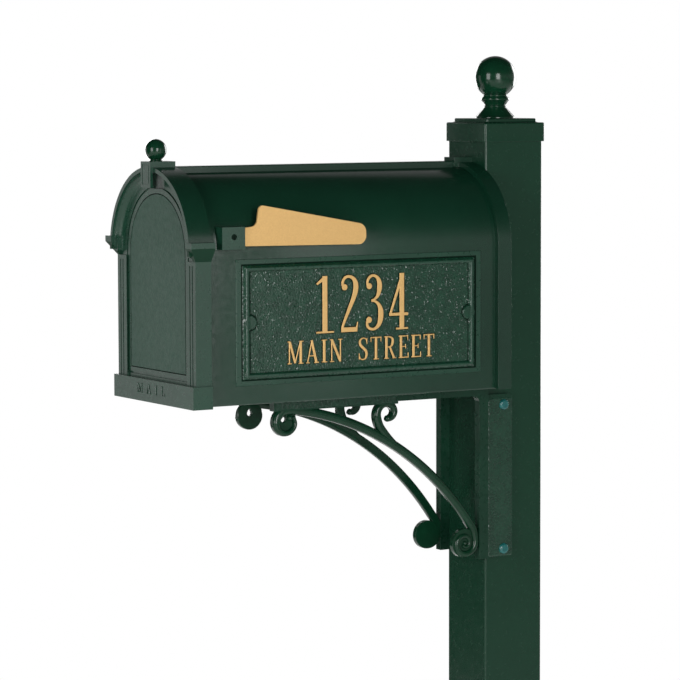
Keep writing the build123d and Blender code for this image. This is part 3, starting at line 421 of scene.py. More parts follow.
def plaqueRelief(side):
    # height above the box side as a function of place: the frame's profile by the distance to the nearer
    # edge, so that its corners mitre, plus ridged waves in the field and grit on the two slopes
    look = plaqueLook
    low, high = cadPlace(side + "_plaque")
    turn = 1 if side == "right" else -1
    base = low[0] if turn == 1 else -high[0]
    y, z = stations(low[1], high[1], 1.0), stations(low[2], high[2], look["topScale"])
    inFromEnds = np.minimum(y - low[1], high[1] - y)
    inFromEdges = np.minimum(z - low[2], high[2] - z) / look["topScale"]
    inwards = np.minimum(*np.meshgrid(inFromEnds, inFromEdges))
    height = np.interp(inwards, look["sideStations"], look["heights"])
    shape = look["noiseShape"]
    rows = np.clip((z - low[2]) * look["samplesUp"], 0, shape[0] - 1).astype(int)
    columns = np.clip((y - low[1]) * look["samplesAlong"], 0, shape[1] - 1).astype(int)
    coarse = rolledNoise(shape, 1.0, *look["coarseWaves"], look["seed"])[np.ix_(rows, columns)]
    fine = rolledNoise(shape, 1.0, *look["fineWaves"], look["seed"] + 1)[np.ix_(rows, columns)]
    pebbles = np.clip(coarse, *look["pebbleLimits"]) + look["fineShare"] * fine
    inField = np.clip((inwards - look["fieldStart"]) / look["fieldFade"], 0, 1)
    height = height + look["pebbleHeight"] * pebbles * inField
    onSlope = between(inwards, *look["slopes"][0]) | between(inwards, *look["slopes"][1])
    height = height + look["bevelGrit"] * fine * onSlope
    gridY, gridZ = np.meshgrid(y, z)
    lugRadius, lugAway = look["lugRadius"], np.full(gridY.shape, np.inf)
    for endY in (low[1] + look["lugIn"], high[1] - look["lugIn"]):
        away = np.hypot(gridY - endY, gridZ - (low[2] + high[2]) / 2)
        lug = np.interp(away, [0, lugRadius - look["lugEdge"], lugRadius], look["lugHeights"])
        height = np.maximum(height, lug)
        lugAway = np.minimum(lugAway, away)
    front = np.stack([turn * (base + height), gridY, gridZ], -1).reshape(-1, 3)
    middle = (inwards[:-1, :-1] + inwards[1:, 1:]) / 2
    middleLug = (lugAway[:-1, :-1] + lugAway[1:, 1:]) / 2
    pebbled = between(middle, *look["pebbledBand"]) | (middle > look["pebbledFrom"])
    # painted shade: the groove, the foot of the inner slope and a ring round each lug
    dark = between(middle, *look["darkBands"][0]) | between(middle, *look["darkBands"][1])
    dark &= middleLug > lugRadius - look["darkOffLug"]
    ringMiddle, ringHalf = look["lugRing"]
    dark |= (np.abs(middleLug - lugRadius - ringMiddle) < ringHalf) & (middle > look["darkBands"][1][0])
    # flat behind: a wall from the front's edge to the box side, and one face across the back
    rim = rimOf(*gridY.shape)
    backRim = front[rim]
    backRim[:, 0] = turn * base
    behind = len(front) + np.arange(len(rim))
    wall = np.stack([rim, np.roll(rim, -1), np.roll(behind, -1), behind], -1).tolist()
    faces = gridFaces(*gridY.shape, closedColumns=False).tolist() + wall + [behind.tolist()]
    marks = np.where(dark, 2, pebbled.astype(int)).reshape(-1).tolist() + [0] * (len(wall) + 1)
    putMesh(side + "_plaque_relief", np.concatenate([front, backRim]), faces, "stand",
            [paints["green_satin"], paints["green_pebbled"], paints["green_recess"]], marks, 40,
            [side + "_plaque"])


for side in ("right", "left"):
    plaqueRelief(side)
print("plaques raised")

letterLook = {
    "numeral": "1234", "numeralHeight": 81.0, "numeralWide": 1.2, "numeralPitch": 41.0,
    "words": "MAIN STREET", "wordHeight": 32.5, "wordWide": 1.05, "wordGap": 4.2, "wordSpace": 22.0,
    "numeralFoot": 1165.5, "wordFoot": 1124.0, "rise": 1.9, "edge": 0.45,
    # strokes that cross differ in height by so many steps of a hair, and all start so far above the box side
    "hair": 0.012, "hairSteps": 7, "plateTop": 1.3,
    # the dark plates under figures and letters, painted shadow round their feet: height, and how far they
    # show past each stroke's edges
    "footRise": 1.15, "numeralReach": 1.2, "wordReach": 0.8,
}


def bar(x0, z0, x1, z1, half, endHalf=None):
    # a straight stroke from one place to another, with a half width at each end
    return [(x0, z0, half), (x1, z1, endHalf or half)], False


def serif(x0, x1, z=0.022):
    # a thin level stroke across the foot of a letter, or across its head
    return bar(x0, z, x1, z, 0.022)


def curve(*line):
    # a smooth stroke through places and half widths
    return line, True


# each glyph: width, strokes (x, z, half width), round terminals (x, z, radius); height is 1
glyphs = {
    "1": (0.32, [
        bar(0.17, 0.0, 0.17, 1.0, 0.05), bar(0.175, 0.975, 0.03, 0.86, 0.034, 0.02),
        bar(0.02, 0.016, 0.32, 0.016, 0.017),
    ], []),
    "2": (0.32, [
        curve((0.05, 0.81, 0.022), (0.055, 0.9, 0.026), (0.1, 0.963, 0.027), (0.165, 0.975, 0.026),
        (0.235, 0.935, 0.034), (0.272, 0.85, 0.048), (0.272, 0.74, 0.05), (0.24, 0.61, 0.045),
        (0.175, 0.44, 0.036), (0.105, 0.26, 0.028), (0.055, 0.12, 0.024), (0.045, 0.05, 0.022)),
        bar(0.02, 0.042, 0.285, 0.042, 0.042), bar(0.275, 0.005, 0.305, 0.17, 0.028, 0.008),
    ], [(0.085, 0.79, 0.056)]),
    "3": (0.32, [
        curve((0.05, 0.81, 0.02), (0.06, 0.9, 0.024), (0.105, 0.96, 0.025), (0.165, 0.975, 0.024),
        (0.228, 0.93, 0.032), (0.26, 0.84, 0.046), (0.26, 0.74, 0.046), (0.235, 0.63, 0.034),
        (0.18, 0.56, 0.023), (0.115, 0.535, 0.017)), curve((0.115, 0.53, 0.016), (0.19, 0.515, 0.022),
        (0.25, 0.45, 0.034), (0.28, 0.35, 0.05), (0.28, 0.23, 0.052), (0.25, 0.11, 0.04),
        (0.18, 0.036, 0.026), (0.11, 0.032, 0.024), (0.055, 0.08, 0.025), (0.042, 0.17, 0.022)),
    ], [(0.084, 0.79, 0.054), (0.08, 0.195, 0.057)]),
    "4": (0.33, [
        bar(0.225, 0.0, 0.225, 1.0, 0.048), bar(0.235, 0.975, 0.025, 0.28, 0.03, 0.022),
        bar(0.0, 0.272, 0.33, 0.272, 0.027), bar(0.12, 0.016, 0.33, 0.016, 0.017),
    ], []),
    "M": (0.76, [
        bar(0.1, 0.0, 0.1, 1.0, 0.03), bar(0.64, 0.0, 0.64, 1.0, 0.06),
        bar(0.12, 0.97, 0.37, 0.04, 0.055, 0.05), bar(0.37, 0.04, 0.62, 0.97, 0.026, 0.03),
        serif(0.0, 0.2), serif(0.52, 0.76), serif(0.0, 0.14, 0.978), serif(0.6, 0.76, 0.978),
    ], []),
    "A": (0.62, [
        bar(0.08, 0.0, 0.29, 0.97, 0.028, 0.03), bar(0.28, 1.0, 0.51, 0.0, 0.055, 0.062),
        bar(0.14, 0.32, 0.43, 0.32, 0.025), serif(0.0, 0.18), serif(0.39, 0.62),
    ], []),
    "I": (0.28, [
        bar(0.14, 0.0, 0.14, 1.0, 0.065), serif(0.01, 0.27), serif(0.01, 0.27, 0.978),
    ], []),
    "L": (0.5, [
        bar(0.12, 0.0, 0.12, 1.0, 0.062), serif(0.0, 0.25, 0.978), bar(0.0, 0.028, 0.48, 0.028, 0.027),
        bar(0.475, 0.26, 0.475, 0.005, 0.012, 0.024),
    ], []),
    "N": (0.62, [
        bar(0.1, 0.0, 0.1, 1.0, 0.03), bar(0.11, 0.97, 0.51, 0.03, 0.06),
        bar(0.52, 0.0, 0.52, 1.0, 0.03), serif(0.0, 0.21), serif(0.0, 0.14, 0.978),
        serif(0.41, 0.62, 0.978),
    ], []),
    "S": (0.48, [
        curve((0.42, 0.8, 0.026), (0.38, 0.92, 0.028), (0.26, 0.972, 0.028), (0.13, 0.92, 0.042),
        (0.08, 0.8, 0.055), (0.12, 0.66, 0.06), (0.25, 0.53, 0.062), (0.37, 0.41, 0.062),
        (0.41, 0.25, 0.056), (0.36, 0.09, 0.042), (0.24, 0.03, 0.028), (0.11, 0.07, 0.028),
        (0.06, 0.2, 0.026)), bar(0.43, 0.7, 0.43, 0.97, 0.016), bar(0.05, 0.03, 0.05, 0.3, 0.016),
    ], []),
    "T": (0.54, [
        bar(0.27, 0.0, 0.27, 1.0, 0.062), bar(0.01, 0.972, 0.53, 0.972, 0.028),
        bar(0.024, 0.78, 0.024, 0.99, 0.012, 0.024), bar(0.516, 0.78, 0.516, 0.99, 0.012, 0.024),
        serif(0.14, 0.4),
    ], []),
    "R": (0.6, [
        bar(0.12, 0.0, 0.12, 1.0, 0.062), curve((0.12, 0.972, 0.026), (0.3, 0.962, 0.032),
        (0.41, 0.88, 0.05), (0.43, 0.75, 0.06), (0.39, 0.6, 0.05), (0.3, 0.53, 0.032),
        (0.12, 0.515, 0.024)), bar(0.29, 0.52, 0.49, 0.03, 0.045, 0.058), serif(0.0, 0.24),
        serif(0.0, 0.14, 0.978), serif(0.42, 0.6),
    ], []),
    "E": (0.5, [
        bar(0.12, 0.0, 0.12, 1.0, 0.062), bar(0.0, 0.972, 0.47, 0.972, 0.027),
        bar(0.12, 0.51, 0.35, 0.51, 0.023), bar(0.0, 0.028, 0.48, 0.028, 0.027),
        bar(0.455, 0.77, 0.455, 0.99, 0.012, 0.022), bar(0.35, 0.41, 0.35, 0.61, 0.016),
        bar(0.475, 0.24, 0.475, 0.005, 0.012, 0.024),
    ], []),
}


def strokeSolid(line, smooth, rise):
    # a raised stroke: a six-sided section, its width following the half widths, carried along the line
    if smooth:
        line = smoothed(line, 7)
    path, half = line[:, :2], line[:, 2][:, None]
    across = acrossOf(path)
    edge = letterLook["edge"]
    offsets = np.concatenate([-half, -half, -half + edge, half - edge, half, half], 1)
    offsets[:, 2] = np.minimum(offsets[:, 2], -0.1)
    offsets[:, 3] = np.maximum(offsets[:, 3], 0.1)
    heights = np.array([0.0, rise - edge, rise, rise, rise - edge, 0.0])
    flat = path[:, None, :] + across[:, None, :] * offsets[..., None]
    solid = np.concatenate([flat, np.broadcast_to(heights[None, :, None], offsets.shape + (1,))], -1)
    faces = gridFaces(len(path), 6).tolist() + ringCaps(len(path), 6)
    # the top takes the first paint; the sides and the ends take the second, which darkens them as painted
    # shade
    marks = [1, 0, 0, 0, 1, 1] * (len(path) - 1) + [1, 1]
    return solid, faces, marks


def dotSolid(x, z, radius, rise, count=28):
    # a round terminal: a low drum with a rolled edge
    edge = letterLook["edge"]
    profile = np.array([(0, 0), (radius, 0), (radius, rise - edge), (radius - edge, rise), (0, rise)])
    grid, faces = turned(profile, np.zeros(3), count)
    grid = np.stack([grid[..., 0] + x, grid[..., 1] + z, grid[..., 2]], -1)
    return grid, faces.tolist(), np.repeat([1, 1, 0, 0], count).tolist()


def lettering(text, height, wide, gap, space, foot, rise=letterLook["rise"], grow=0.0):
    # every stroke of a line of text, in (along, up, rise) millimetres, each a hair higher than the last
    parts, x = [], 0.0
    scale = np.array([height * wide, height, height])
    for letter in text:
        if letter == " ":
            x += space
            continue
        width, strokes, dots = glyphs[letter]
        start = (x, foot, grow)
        solids = [(strokeSolid, np.array(line) * scale + start, smooth) for line, smooth in strokes]
        solids += [(dotSolid, *(np.array(dot) * scale + start)) for dot in dots]
        for shape, *sizes in solids:
            hairs = (len(parts) + 1) % letterLook["hairSteps"]
            parts.append(shape(*sizes, rise + letterLook["hair"] * hairs))
        x += width * scale[0] + gap
    return joined(parts), x - gap


def putLettering(name, side, line, middle, looks):
    # stands the flat strokes on the plaque's field, reading from the left on both sides of the box
    (points, faces, marks), width = line
    low, high = cadPlace(side + "_plaque")
    turn = 1 if side == "right" else -1
    field = (low[0] if turn == 1 else -high[0]) + letterLook["plateTop"]
    placed = np.stack([
        turn * (field + points[:, 2]),
        middle + turn * (points[:, 0] - width / 2),
        points[:, 1],
    ], -1)
    putMesh(name, placed, faces, "stand", [paints[look] for look in looks], marks, 30)


numeralHeight, numeralWide = letterLook["numeralHeight"], letterLook["numeralWide"]
numeralGap = letterLook["numeralPitch"] - glyphs["1"][0] * numeralHeight * numeralWide
numeralSizes = (letterLook["numeral"], numeralHeight, numeralWide, numeralGap, 0.0,
                letterLook["numeralFoot"])
wordSizes = (letterLook["words"], letterLook["wordHeight"], letterLook["wordWide"],
             letterLook["wordGap"], letterLook["wordSpace"], letterLook["wordFoot"])
for side in ("right", "left"):
    low, high = cadPlace(side + "_plaque")
    middle = (low[1] + high[1]) / 2
    for name, sizes, reach in (("_house_number", numeralSizes, "numeralReach"),
                               ("_street_name", wordSizes, "wordReach")):
        # gold faces; their sides in the darkest green: the plaque's own green, deepened as painted shade
        putLettering(side + name, side, lettering(*sizes), middle,
                     ["gold_flecked", "green_recess"])
        # a low dark plate a little wider than the letters: painted shadow round their feet
        foot = lettering(*sizes, letterLook["footRise"], letterLook[reach])
        putLettering(side + name + "_foot", side, foot, middle,
                     ["green_recess", "green_recess"])

plinthLook = {"word": "MAIL", "height": 13.5, "wide": 1.5, "gap": 13.0, "foot": 1080.0, "front": -580.9,
              "middle": -6.0, "rise": 1.1}


def makePlinthWord():
    # low raised letters across the door's plinth, their faces in the door's own paint and their sides
    # darkened as painted shade
    look = plinthLook
    (points, faces, marks), width = lettering(
        look["word"], look["height"], look["wide"], look["gap"], 0.0, look["foot"], look["rise"]
    )
    along = points[:, 0] - width / 2 + look["middle"]
    placed = np.stack([along, look["front"] - points[:, 2], points[:, 1]], -1)
    putMesh("plinth_word", placed, faces, "door",
            [paints["green_satin"], paints["green_recess"]], marks, 30)


makePlinthWord()
print("numerals, street name and plinth word cast")

capLook = {
    "half": 54.0, "corner": 4.0, "skirtLow": 1430.3, "skirtHigh": 1458.4, "stepHalf": 45.0,
    "stepHigh": 1464.5, "inner": 51.2, "innerTop": 1445.0, "slope": 3, "lip": 1.0,
    # of each corner, from the middle of the inside, under the skirt, to the middle of the top
    "roundness": [0, 0.5, 0.5, 0.9, 2.2, 1.2, 1.0, 1.8, 0],
}


def roundedSquare(half, corner, arc=8):
    # a square with round corners as four quarter circles, for each of several half widths
    angle = np.linspace(0, np.pi / 2, arc)
    sweep = np.concatenate([angle + quarter * np.pi / 2 for quarter in range(4)])
    quarters = np.repeat([(1, 1), (-1, 1), (-1, -1), (1, -1)], arc, 0)
    centre = (half - corner)[:, None, None] * quarters[None]
    return centre + corner[:, None, None] * np.stack([np.cos(sweep), np.sin(sweep)], -1)[None]


def makeCap():
    # a rounded square carried through a profile of half width and height, closed at the top and inside
    look = capLook
    half, stepHalf = look["half"], look["stepHalf"]
    profile = rounded([
        (0.02, look["innerTop"]), (look["inner"], look["innerTop"]), (look["inner"], look["skirtLow"]),
        (half, look["skirtLow"]), (half, look["skirtHigh"]), (stepHalf + look["slope"], look["skirtHigh"]),
        (stepHalf, look["skirtHigh"] + look["lip"]), (stepHalf, look["stepHigh"]), (0.02, look["stepHigh"]),
    ], look["roundness"], 6)
    half, height = profile[:, 0], profile[:, 1]
    flat = roundedSquare(half, np.minimum(look["corner"], half * 0.9))
    grid = np.concatenate([flat, np.broadcast_to(height[:, None, None], flat.shape[:2] + (1,))], -1)
    faces = gridFaces(*flat.shape[:2]).tolist() + ringCaps(*flat.shape[:2])
    putMesh("cap_cover", grid, faces, "stand", [paints["green_post"]], None, 50, ["post_cap"])


finialLook = {
    # radius and height above the cap of each corner of the turning, with the roundness of each
    "turning": [
        (0.0, 0.0), (30.0, 0.0), (30.0, 2.4), (28.4, 3.4), (17.2, 16.0), (16.6, 17.0), (17.4, 17.9),
        (16.8, 18.9), (15.8, 19.6), (19.2, 25.2), (21.6, 27.4), (21.8, 29.4), (18.4, 33.6), (18.9, 34.6),
        (18.0, 35.6),
    ],
    "roundness": [0, 0.6, 0.8, 0.8, 0.9, 0.5, 0.5, 0.6, 0.6, 2.0, 0.7, 0.8, 0.5, 0.5, 0],
    "ballRadius": 31.4, "ballHeight": 61.5, "throat": 17.6,
}
ballLook = {
    "radius": 15.4, "neck": 7.4,
    # how far each corner of the two small rings stands out from the neck and up from the foot
    "rings": [(2.6, 0.0), (2.6, 0.9), (0.4, 1.7), (1.5, 2.3), (0.0, 2.9)],
    "roundness": [0, 0.3, 0.4, 0.4, 0.4, 0.3],
}


def ballArc(radius, middle, neck, count):
    # radius and height along a ball's outline, from the neck that it stands on to its pole
    angle = np.linspace(np.pi - math.asin(neck / radius), 0, count)
    return np.column_stack([radius * np.sin(angle), middle + radius * np.cos(angle)])


def makeFinial():
    # lathe: the turned base's line, then the ball as an arc from its throat to the pole
    look = finialLook
    base = cadPlace("post_finial")[0][2]
    ball = ballArc(look["ballRadius"], look["ballHeight"], look["throat"], 56)
    profile = np.vstack([rounded(look["turning"], look["roundness"]), ball])
    grid, faces = turned(profile, np.array([0, 0, base]), 112)
    putMesh("ball_finial", grid, faces, "stand", [paints["green_gloss"]], None, 40,
            ["post_finial"])


def makePullBall():
    # lathe: two small rings on a neck, then the ball
    low, high = cadPlace("pull_ball")
    foot, radius, neck = low[2], ballLook["radius"], ballLook["neck"]
    rings = [(neck + out, foot + up) for out, up in ballLook["rings"]]
    line = rounded([(0, foot)] + rings, ballLook["roundness"], 4)
    profile = np.vstack([line, ballArc(radius, high[2] - radius, neck, 44)])
    grid, faces = turned(profile, np.array([0, (low[1] + high[1]) / 2, 0]), 80)
    putMesh("pull_knob", grid, faces, "door", [paints["green_gloss"]], None, 40,
            ["pull_ball"])


makeCap()
makeFinial()
makePullBall()
print("cap, finial and pull ball turned")

shellLook = {
    "half": 112.0, "bottom": 1070.0, "spring": 1281.0, "sheet": 2.0, "flange": 22.0, "bend": 2.6,
    "front": -549.0, "rear": -54.8, "edge": 0.5, "nose": 0.15,
}


def shellPath(count=88):
    # open outline of the box seen from the door: bottom flange, side, half circle, side, bottom flange
    look = shellLook
    half, bottom = look["half"], look["bottom"]
    angle = np.linspace(0, np.pi, count)
    arc = np.column_stack([half * np.cos(angle), look["spring"] + half * np.sin(angle)])
    start = rounded([(look["flange"], bottom), (half, bottom), arc[0]], look["bend"], 6)[:-1]
    return np.vstack([start, arc, (start * (-1, 1))[::-1]])


def makeShell():
    # a thin rounded strip, as long as the box, carried along the outline with its thickness inwards
    front, rear, sheet, edge, nose = (shellLook[k] for k in ("front", "rear", "sheet", "edge", "nose"))
    path = shellPath()
    inwards = acrossOf(path)
    strip = np.array([
        (0, rear - edge), (0, front + edge), (nose, front + nose), (edge, front), (sheet - edge, front),
        (sheet - nose, front + nose), (sheet, front + edge), (sheet, rear - edge), (sheet - edge, rear),
        (edge, rear),
    ])
    flat = path[:, None, :] + inwards[:, None, :] * strip[None, :, 0][..., None]
    grid = np.stack([flat[..., 0], np.broadcast_to(strip[:, 1], flat.shape[:2]), flat[..., 1]], -1)
    faces = gridFaces(len(path), len(strip)).tolist() + ringCaps(len(path), len(strip))
    putMesh("box_shell", grid, faces, "stand", [paints["green_roof"]], None, 40,
            ["body_shell"])


makeShell()
print("box shell rolled")

scrollLook = {
    # depths of the bars' back and front, and the box's underside, which heights are counted from
    "inner": 46.8, "outer": 59.8, "backDepth": 6.4, "box": 1070.0,
    # the section: place from one edge to the other and depth, in halves; domed in front and flat behind
    "across": [-1.0, -0.99, -0.94, -0.84, -0.68, -0.46, -0.2, 0.0, 0.2, 0.46, 0.68, 0.84, 0.94, 0.99, 1.0],
    "dome": [-0.1, 0.2, 0.42, 0.62, 0.79, 0.92, 0.99, 1.0, 0.99, 0.92, 0.79, 0.62, 0.42, 0.2, -0.1],
    "back": [(1.0, -0.84), (0.96, -0.95), (0.88, -1.0), (-0.88, -1.0), (-0.96, -0.95), (-1.0, -0.84)],
    # the arm, an arc from above the lower curl to the front one
    "armCentre": (-445.9, -457.1), "armRadius": 443.4, "armHalf": (6.2, 0.9), "armAngles": (32.0, 82.4, 90),
    # front curl: over the top, down and round; angle, radius and half width
    "frontCentre": (-397.0, -35.0),
    "frontCurl": [(100, 16.2, 7.0), (125, 14.6, 6.8), (155, 14.3, 6.5), (190, 14.8, 6.1), (225, 15.6, 5.4),
                  (260, 16.4, 4.6), (295, 17.1, 3.9), (330, 17.3, 3.4), (360, 16.4, 3.0), (388, 14.0, 2.8)],
    # lower curl: a snail that winds in clockwise; angles and number of points, least radius and what is
    # added to it at the start, and half widths
    "lowerCentre": (-90.5, -234.3), "snailAngles": (12, -500, 60), "snailRadius": (4.2, 15.4, 1.05),
    "snailHalf": (5.6, 2.6),
    # branch: it leaves the arm towards the post and turns up and over; angle and radius of its curl
    "stem": [(-198, -90.4), (-209, -82.0), (-220.5, -71.6), (-230.5, -60.6), (-238.0, -50.0)],
    "upperCentre": (-227.0, -33.0),
    "upperCurl": [(196, 15.6), (165, 15.0), (135, 14.8), (105, 14.8), (75, 15.0), (45, 15.2), (15, 14.6),
                  (-12, 12.6), (-38, 10.4), (-66, 8.8)],
    "branchHalf": [4.5, 5.2, 5.9, 6.4, 6.5, 6.4, 6.0, 5.6, 5.3, 5.2, 5.3, 5.2, 4.9, 4.5, 3.9],
    # half depths of the bars: share of the half width, least and most; how much flatter their backs are
    "armDepth": (0.5, 3.6, 6.3), "armInset": 0.25, "branchDepth": 6.0, "branchInset": 0.35,
    # beads inside the curls' ends: step from the end, radius, half depth
    "frontBead": ((-4.2, -1.4), 4.6, 5.6), "lowerBead": ((0, 0), 3.6, 6.2),
    "upperBead": ((-0.8, 0.8), 4.9, 6.1),
    # plates inside two curls: middle, radius and tip of the hole, radius of the plate, its two depths
    "frontPlate": ((-398.2, -31.8), 3.9, 3.4, 20.7, 46.8, 52.5),
    "lowerPlate": ((-90.5, -234.3), 0.3, 0.0, 21.4, 46.8, 55.5), "plateEdge": 0.7,
}
barMiddle = (scrollLook["inner"] + scrollLook["outer"]) / 2


def around(centre, degrees, radius):
    # points at these angles and radii about a centre
    angle = np.radians(degrees)
    return np.column_stack([np.cos(angle), np.sin(angle)]) * radius + centre


def sweptBar(path, half, thick, inset):
    # the domed section carried along a line in the bracket's plane, with its own half width at each point
    across = acrossOf(path)
    ring = np.concatenate([np.column_stack([scrollLook["across"], scrollLook["dome"]]), scrollLook["back"]])
    flat = path[:, None, :] + across[:, None, :] * (ring[None, :, 0] * half[:, None])[..., None]
    behind = ring[None, :, 1] * (scrollLook["backDepth"] - inset)
    depth = barMiddle + np.where(ring[None, :, 1] > 0, ring[None, :, 1] * thick[:, None], behind)
    grid = np.stack([depth, flat[..., 0], flat[..., 1] + scrollLook["box"]], -1)
    faces = gridFaces(len(path), len(ring)).tolist() + ringCaps(len(path), len(ring))
    return grid, faces, [0] * len(faces)


def holedPlate(centre, hole, holeRadius, holeTip, radius, x0, x1):
    # a round plate with a drop-shaped hole: rays from the hole's middle run from its edge to the plate's rim
    angle = np.linspace(0, 2 * np.pi, 72, endpoint=False)
    ray = np.column_stack([np.cos(angle), np.sin(angle)])
    inner = holeRadius + holeTip * np.clip(np.sin(angle), 0, 1) ** 8
    away = np.array(hole) - centre
    reach = -ray @ away + np.sqrt((ray @ away) ** 2 + radius**2 - away @ away)
    edge = scrollLook["plateEdge"]
    rows = [(inner + edge, x0), (reach - edge, x0), (reach, x0 + edge), (reach, x1 - edge),
            (reach - edge, x1), (inner + edge, x1), (inner, x1 - edge), (inner, x0 + edge)]
    grid = np.stack([np.column_stack([
        np.full(len(angle), x), hole[0] + ray[:, 0] * out, hole[1] + ray[:, 1] * out + scrollLook["box"],
    ]) for out, x in rows])
    faces = gridFaces(len(rows), len(angle), closedRows=True)
    return grid, faces.tolist(), [0] * len(faces)


def endBall(end, step, radius, thick):
    # the bead at the end of a curl: a squashed ball
    angle = np.linspace(-np.pi / 2, np.pi / 2, 15)
    profile = np.column_stack([radius * np.cos(angle), thick * np.sin(angle)])
    grid, faces = turned(profile, np.zeros(3), 28)
    centre = np.array(end) + step
    up = grid[..., 1] + centre[1] + scrollLook["box"]
    grid = np.stack([grid[..., 2] + barMiddle, grid[..., 0] + centre[0], up], -1)
    return grid, faces.tolist(), [0] * len(faces)


def makeScroll(side):
    # the arm with a curl at each end as one bar, the branch as another, and the beads and plates inside
    look = scrollLook
    frontCurl, upperCurl = np.array(look["frontCurl"]), np.array(look["upperCurl"], float)
    angles = look["armAngles"]
    arm = around(look["armCentre"], np.linspace(*angles), look["armRadius"])[2::3]
    least, wider = look["armHalf"]
    arm = np.column_stack([arm, np.linspace(least, least + wider, len(arm))])
    curl = around(look["frontCentre"], frontCurl[:, 0], frontCurl[:, 1:2])
    curl = np.column_stack([curl, frontCurl[:, 2]])
    count = look["snailAngles"][2]
    inmost, added, power = look["snailRadius"]
    radius = inmost + added * np.linspace(1, 0, count) ** power
    snail = around(look["lowerCentre"], np.linspace(*look["snailAngles"]), radius[:, None])
    snail = np.column_stack([snail, np.linspace(*look["snailHalf"], count)])
    branch = np.vstack([look["stem"], around(look["upperCentre"], upperCurl[:, 0], upperCurl[:, 1:])])
    path = smoothed(np.vstack([snail[::-1], arm, curl]), 3)
    branchPath = smoothed(np.column_stack([branch, look["branchHalf"]]), 7)
    share, added, most = look["armDepth"]
    points, faces, marks = joined([
        sweptBar(path[:, :2], path[:, 2], np.minimum(path[:, 2] * share + added, most), look["armInset"]),
        endBall(curl[-1, :2], *look["frontBead"]),
        endBall(look["lowerCentre"], *look["lowerBead"]),
        holedPlate(look["frontCentre"], *look["frontPlate"]),
        holedPlate(look["lowerCentre"], *look["lowerPlate"]),
        sweptBar(branchPath[:, :2], branchPath[:, 2], np.full(len(branchPath), look["branchDepth"]),
                 look["branchInset"]),
        endBall(branch[-1], *look["upperBead"]),
    ])
    if side == "left":
        points = points * (-1, 1, 1)
    putMesh(side + "_scroll_brace", points, faces, "stand", [paints["green_gloss"]], marks,
            30, [side + "_scroll"])


for side in ("right", "left"):
    makeScroll(side)
print("scroll braces curled")

castings = {
    # piece: node, body, slot, paint, bevel width
    "door_front": ("door_casting", "door", "green_paint", "green_satin", 0.55),
    "door_grip": ("door_pull", "door", "green_paint", "green_satin", 0.7),
    "roof_rail": ("ridge_rail", "stand", "green_paint", "green_roof", 0.8),
    "rear_flange": ("rear_cover", "stand", "green_paint", "green_roof", 0.9),
    "right_arm_bracket": ("right_bracket", "stand", "green_paint", "green_bracket", 0.9),
    "left_arm_bracket": ("left_bracket", "stand", "green_paint", "green_bracket", 0.9),
    "flag_clevis": ("flag_mount", "stand", "green_paint", "green_satin", 0.6),
    "signal_flag": ("flag", "flag", "gold_paint", "gold_flecked", 0.9),
}
doorLook = {
    "spring": 1281.0, "lineHalf": 82.6, "panelFront": -572.0, "hoodRadius": 121.0,
    "hoodNear": 0.5, "hoodStart": 12,
    # half width, lowest edge and width of each groove round the panel
    "grooves": ((82.0, 1113.0, 1.6), (91.0, 1104.0, 2.6)),
    "fluteFront": -575.0, "flutes": (101.5, 109.0), "fluteWidth": 2.2, "fluteHeights": (1099.5, 1270.0),
    # how deep the grooves reach, how far off a plane still counts as on it, and off a groove as in it
    "grooveReach": 3.4, "near": 0.3, "beyond": 0.4, "besideFlute": 0.2,
    # the sloping underside of each cornice: inner edge, then lowest and highest place
    "cornice": (112.4, 1272.5, 1292.4),
}


def onPanel(place):
    # the door's flat panel inside its inset line: an arch shape on one plane
    x, y, z = place.T
    look = doorLook
    fromTop = np.hypot(x, np.maximum(z - look["spring"], 0))
    onPlane = np.abs(y - look["panelFront"]) < look["near"]
    return onPlane & (fromTop < look["lineHalf"]) & (np.abs(x) < look["lineHalf"])


def hoodShadeFaces(place):
    # the hood's outer face: half a turned ring above the spring line, given the roof's darker green as
    # painted shade
    x, y, z = place.T
    fromAxis = np.hypot(x, z - doorLook["spring"])
    onRing = np.abs(fromAxis - doorLook["hoodRadius"]) < doorLook["hoodNear"]
    return onRing & (z > doorLook["spring"] + doorLook["hoodStart"])


def grooveShadeFaces(place):
    # the walls and floors of the arched grooves and of the straight flutes, below the faces they are cut in;
    # painted dark as shade in the grooves
    x, y, z = place.T
    look = doorLook
    beyond, depths = look["beyond"], (look["near"], look["grooveReach"])
    fromTop = np.maximum(np.hypot(x, np.maximum(z - look["spring"], 0)), np.abs(x))
    inside = np.zeros(len(x), bool)
    for half, low, width in look["grooves"]:
        outer = (fromTop < half + width + beyond) & (z > low - beyond)
        inner = (fromTop < half - beyond) & (z > low + width + beyond)
        inside |= outer & ~inner & between(y - look["panelFront"], *depths)
    for middle in look["flutes"]:
        beside = np.abs(np.abs(x) - middle) < look["fluteWidth"] / 2 + look["besideFlute"]
        inside |= beside & between(z, *look["fluteHeights"]) & between(y - look["fluteFront"], *depths)
    return inside


def corniceShadeFaces(place):
    # the slopes between each pilaster's top and its cornice, painted duller and darker as shade under the
    # cornice
    inner, low, high = doorLook["cornice"]
    return (np.abs(place[:, 0]) > inner) & between(place[:, 2], low, high)


# the panel in its speckled finish; the hood, the grooves and the cornice undersides darkened as painted
# shade
doorPatches = [(paints["green_speckled"], onPanel), (paints["green_roof"], hoodShadeFaces),
               (paints["green_recess"], grooveShadeFaces), (paints["green_shade"], corniceShadeFaces)]
for name, (node, body, slotName, paint, width) in castings.items():
    softened(name, node, body, paints[paint], width, doorPatches if name == "door_front" else ())
print("castings softened")

panelLook = {
    "step": 1.1, "rise": 0.5, "pebble": 0.42, "edge": 1.6, "thick": 0.6,
    "coarseWaves": (2.6, 7.0), "fineWaves": (1.4, 3.0), "fineShare": 0.2,
}
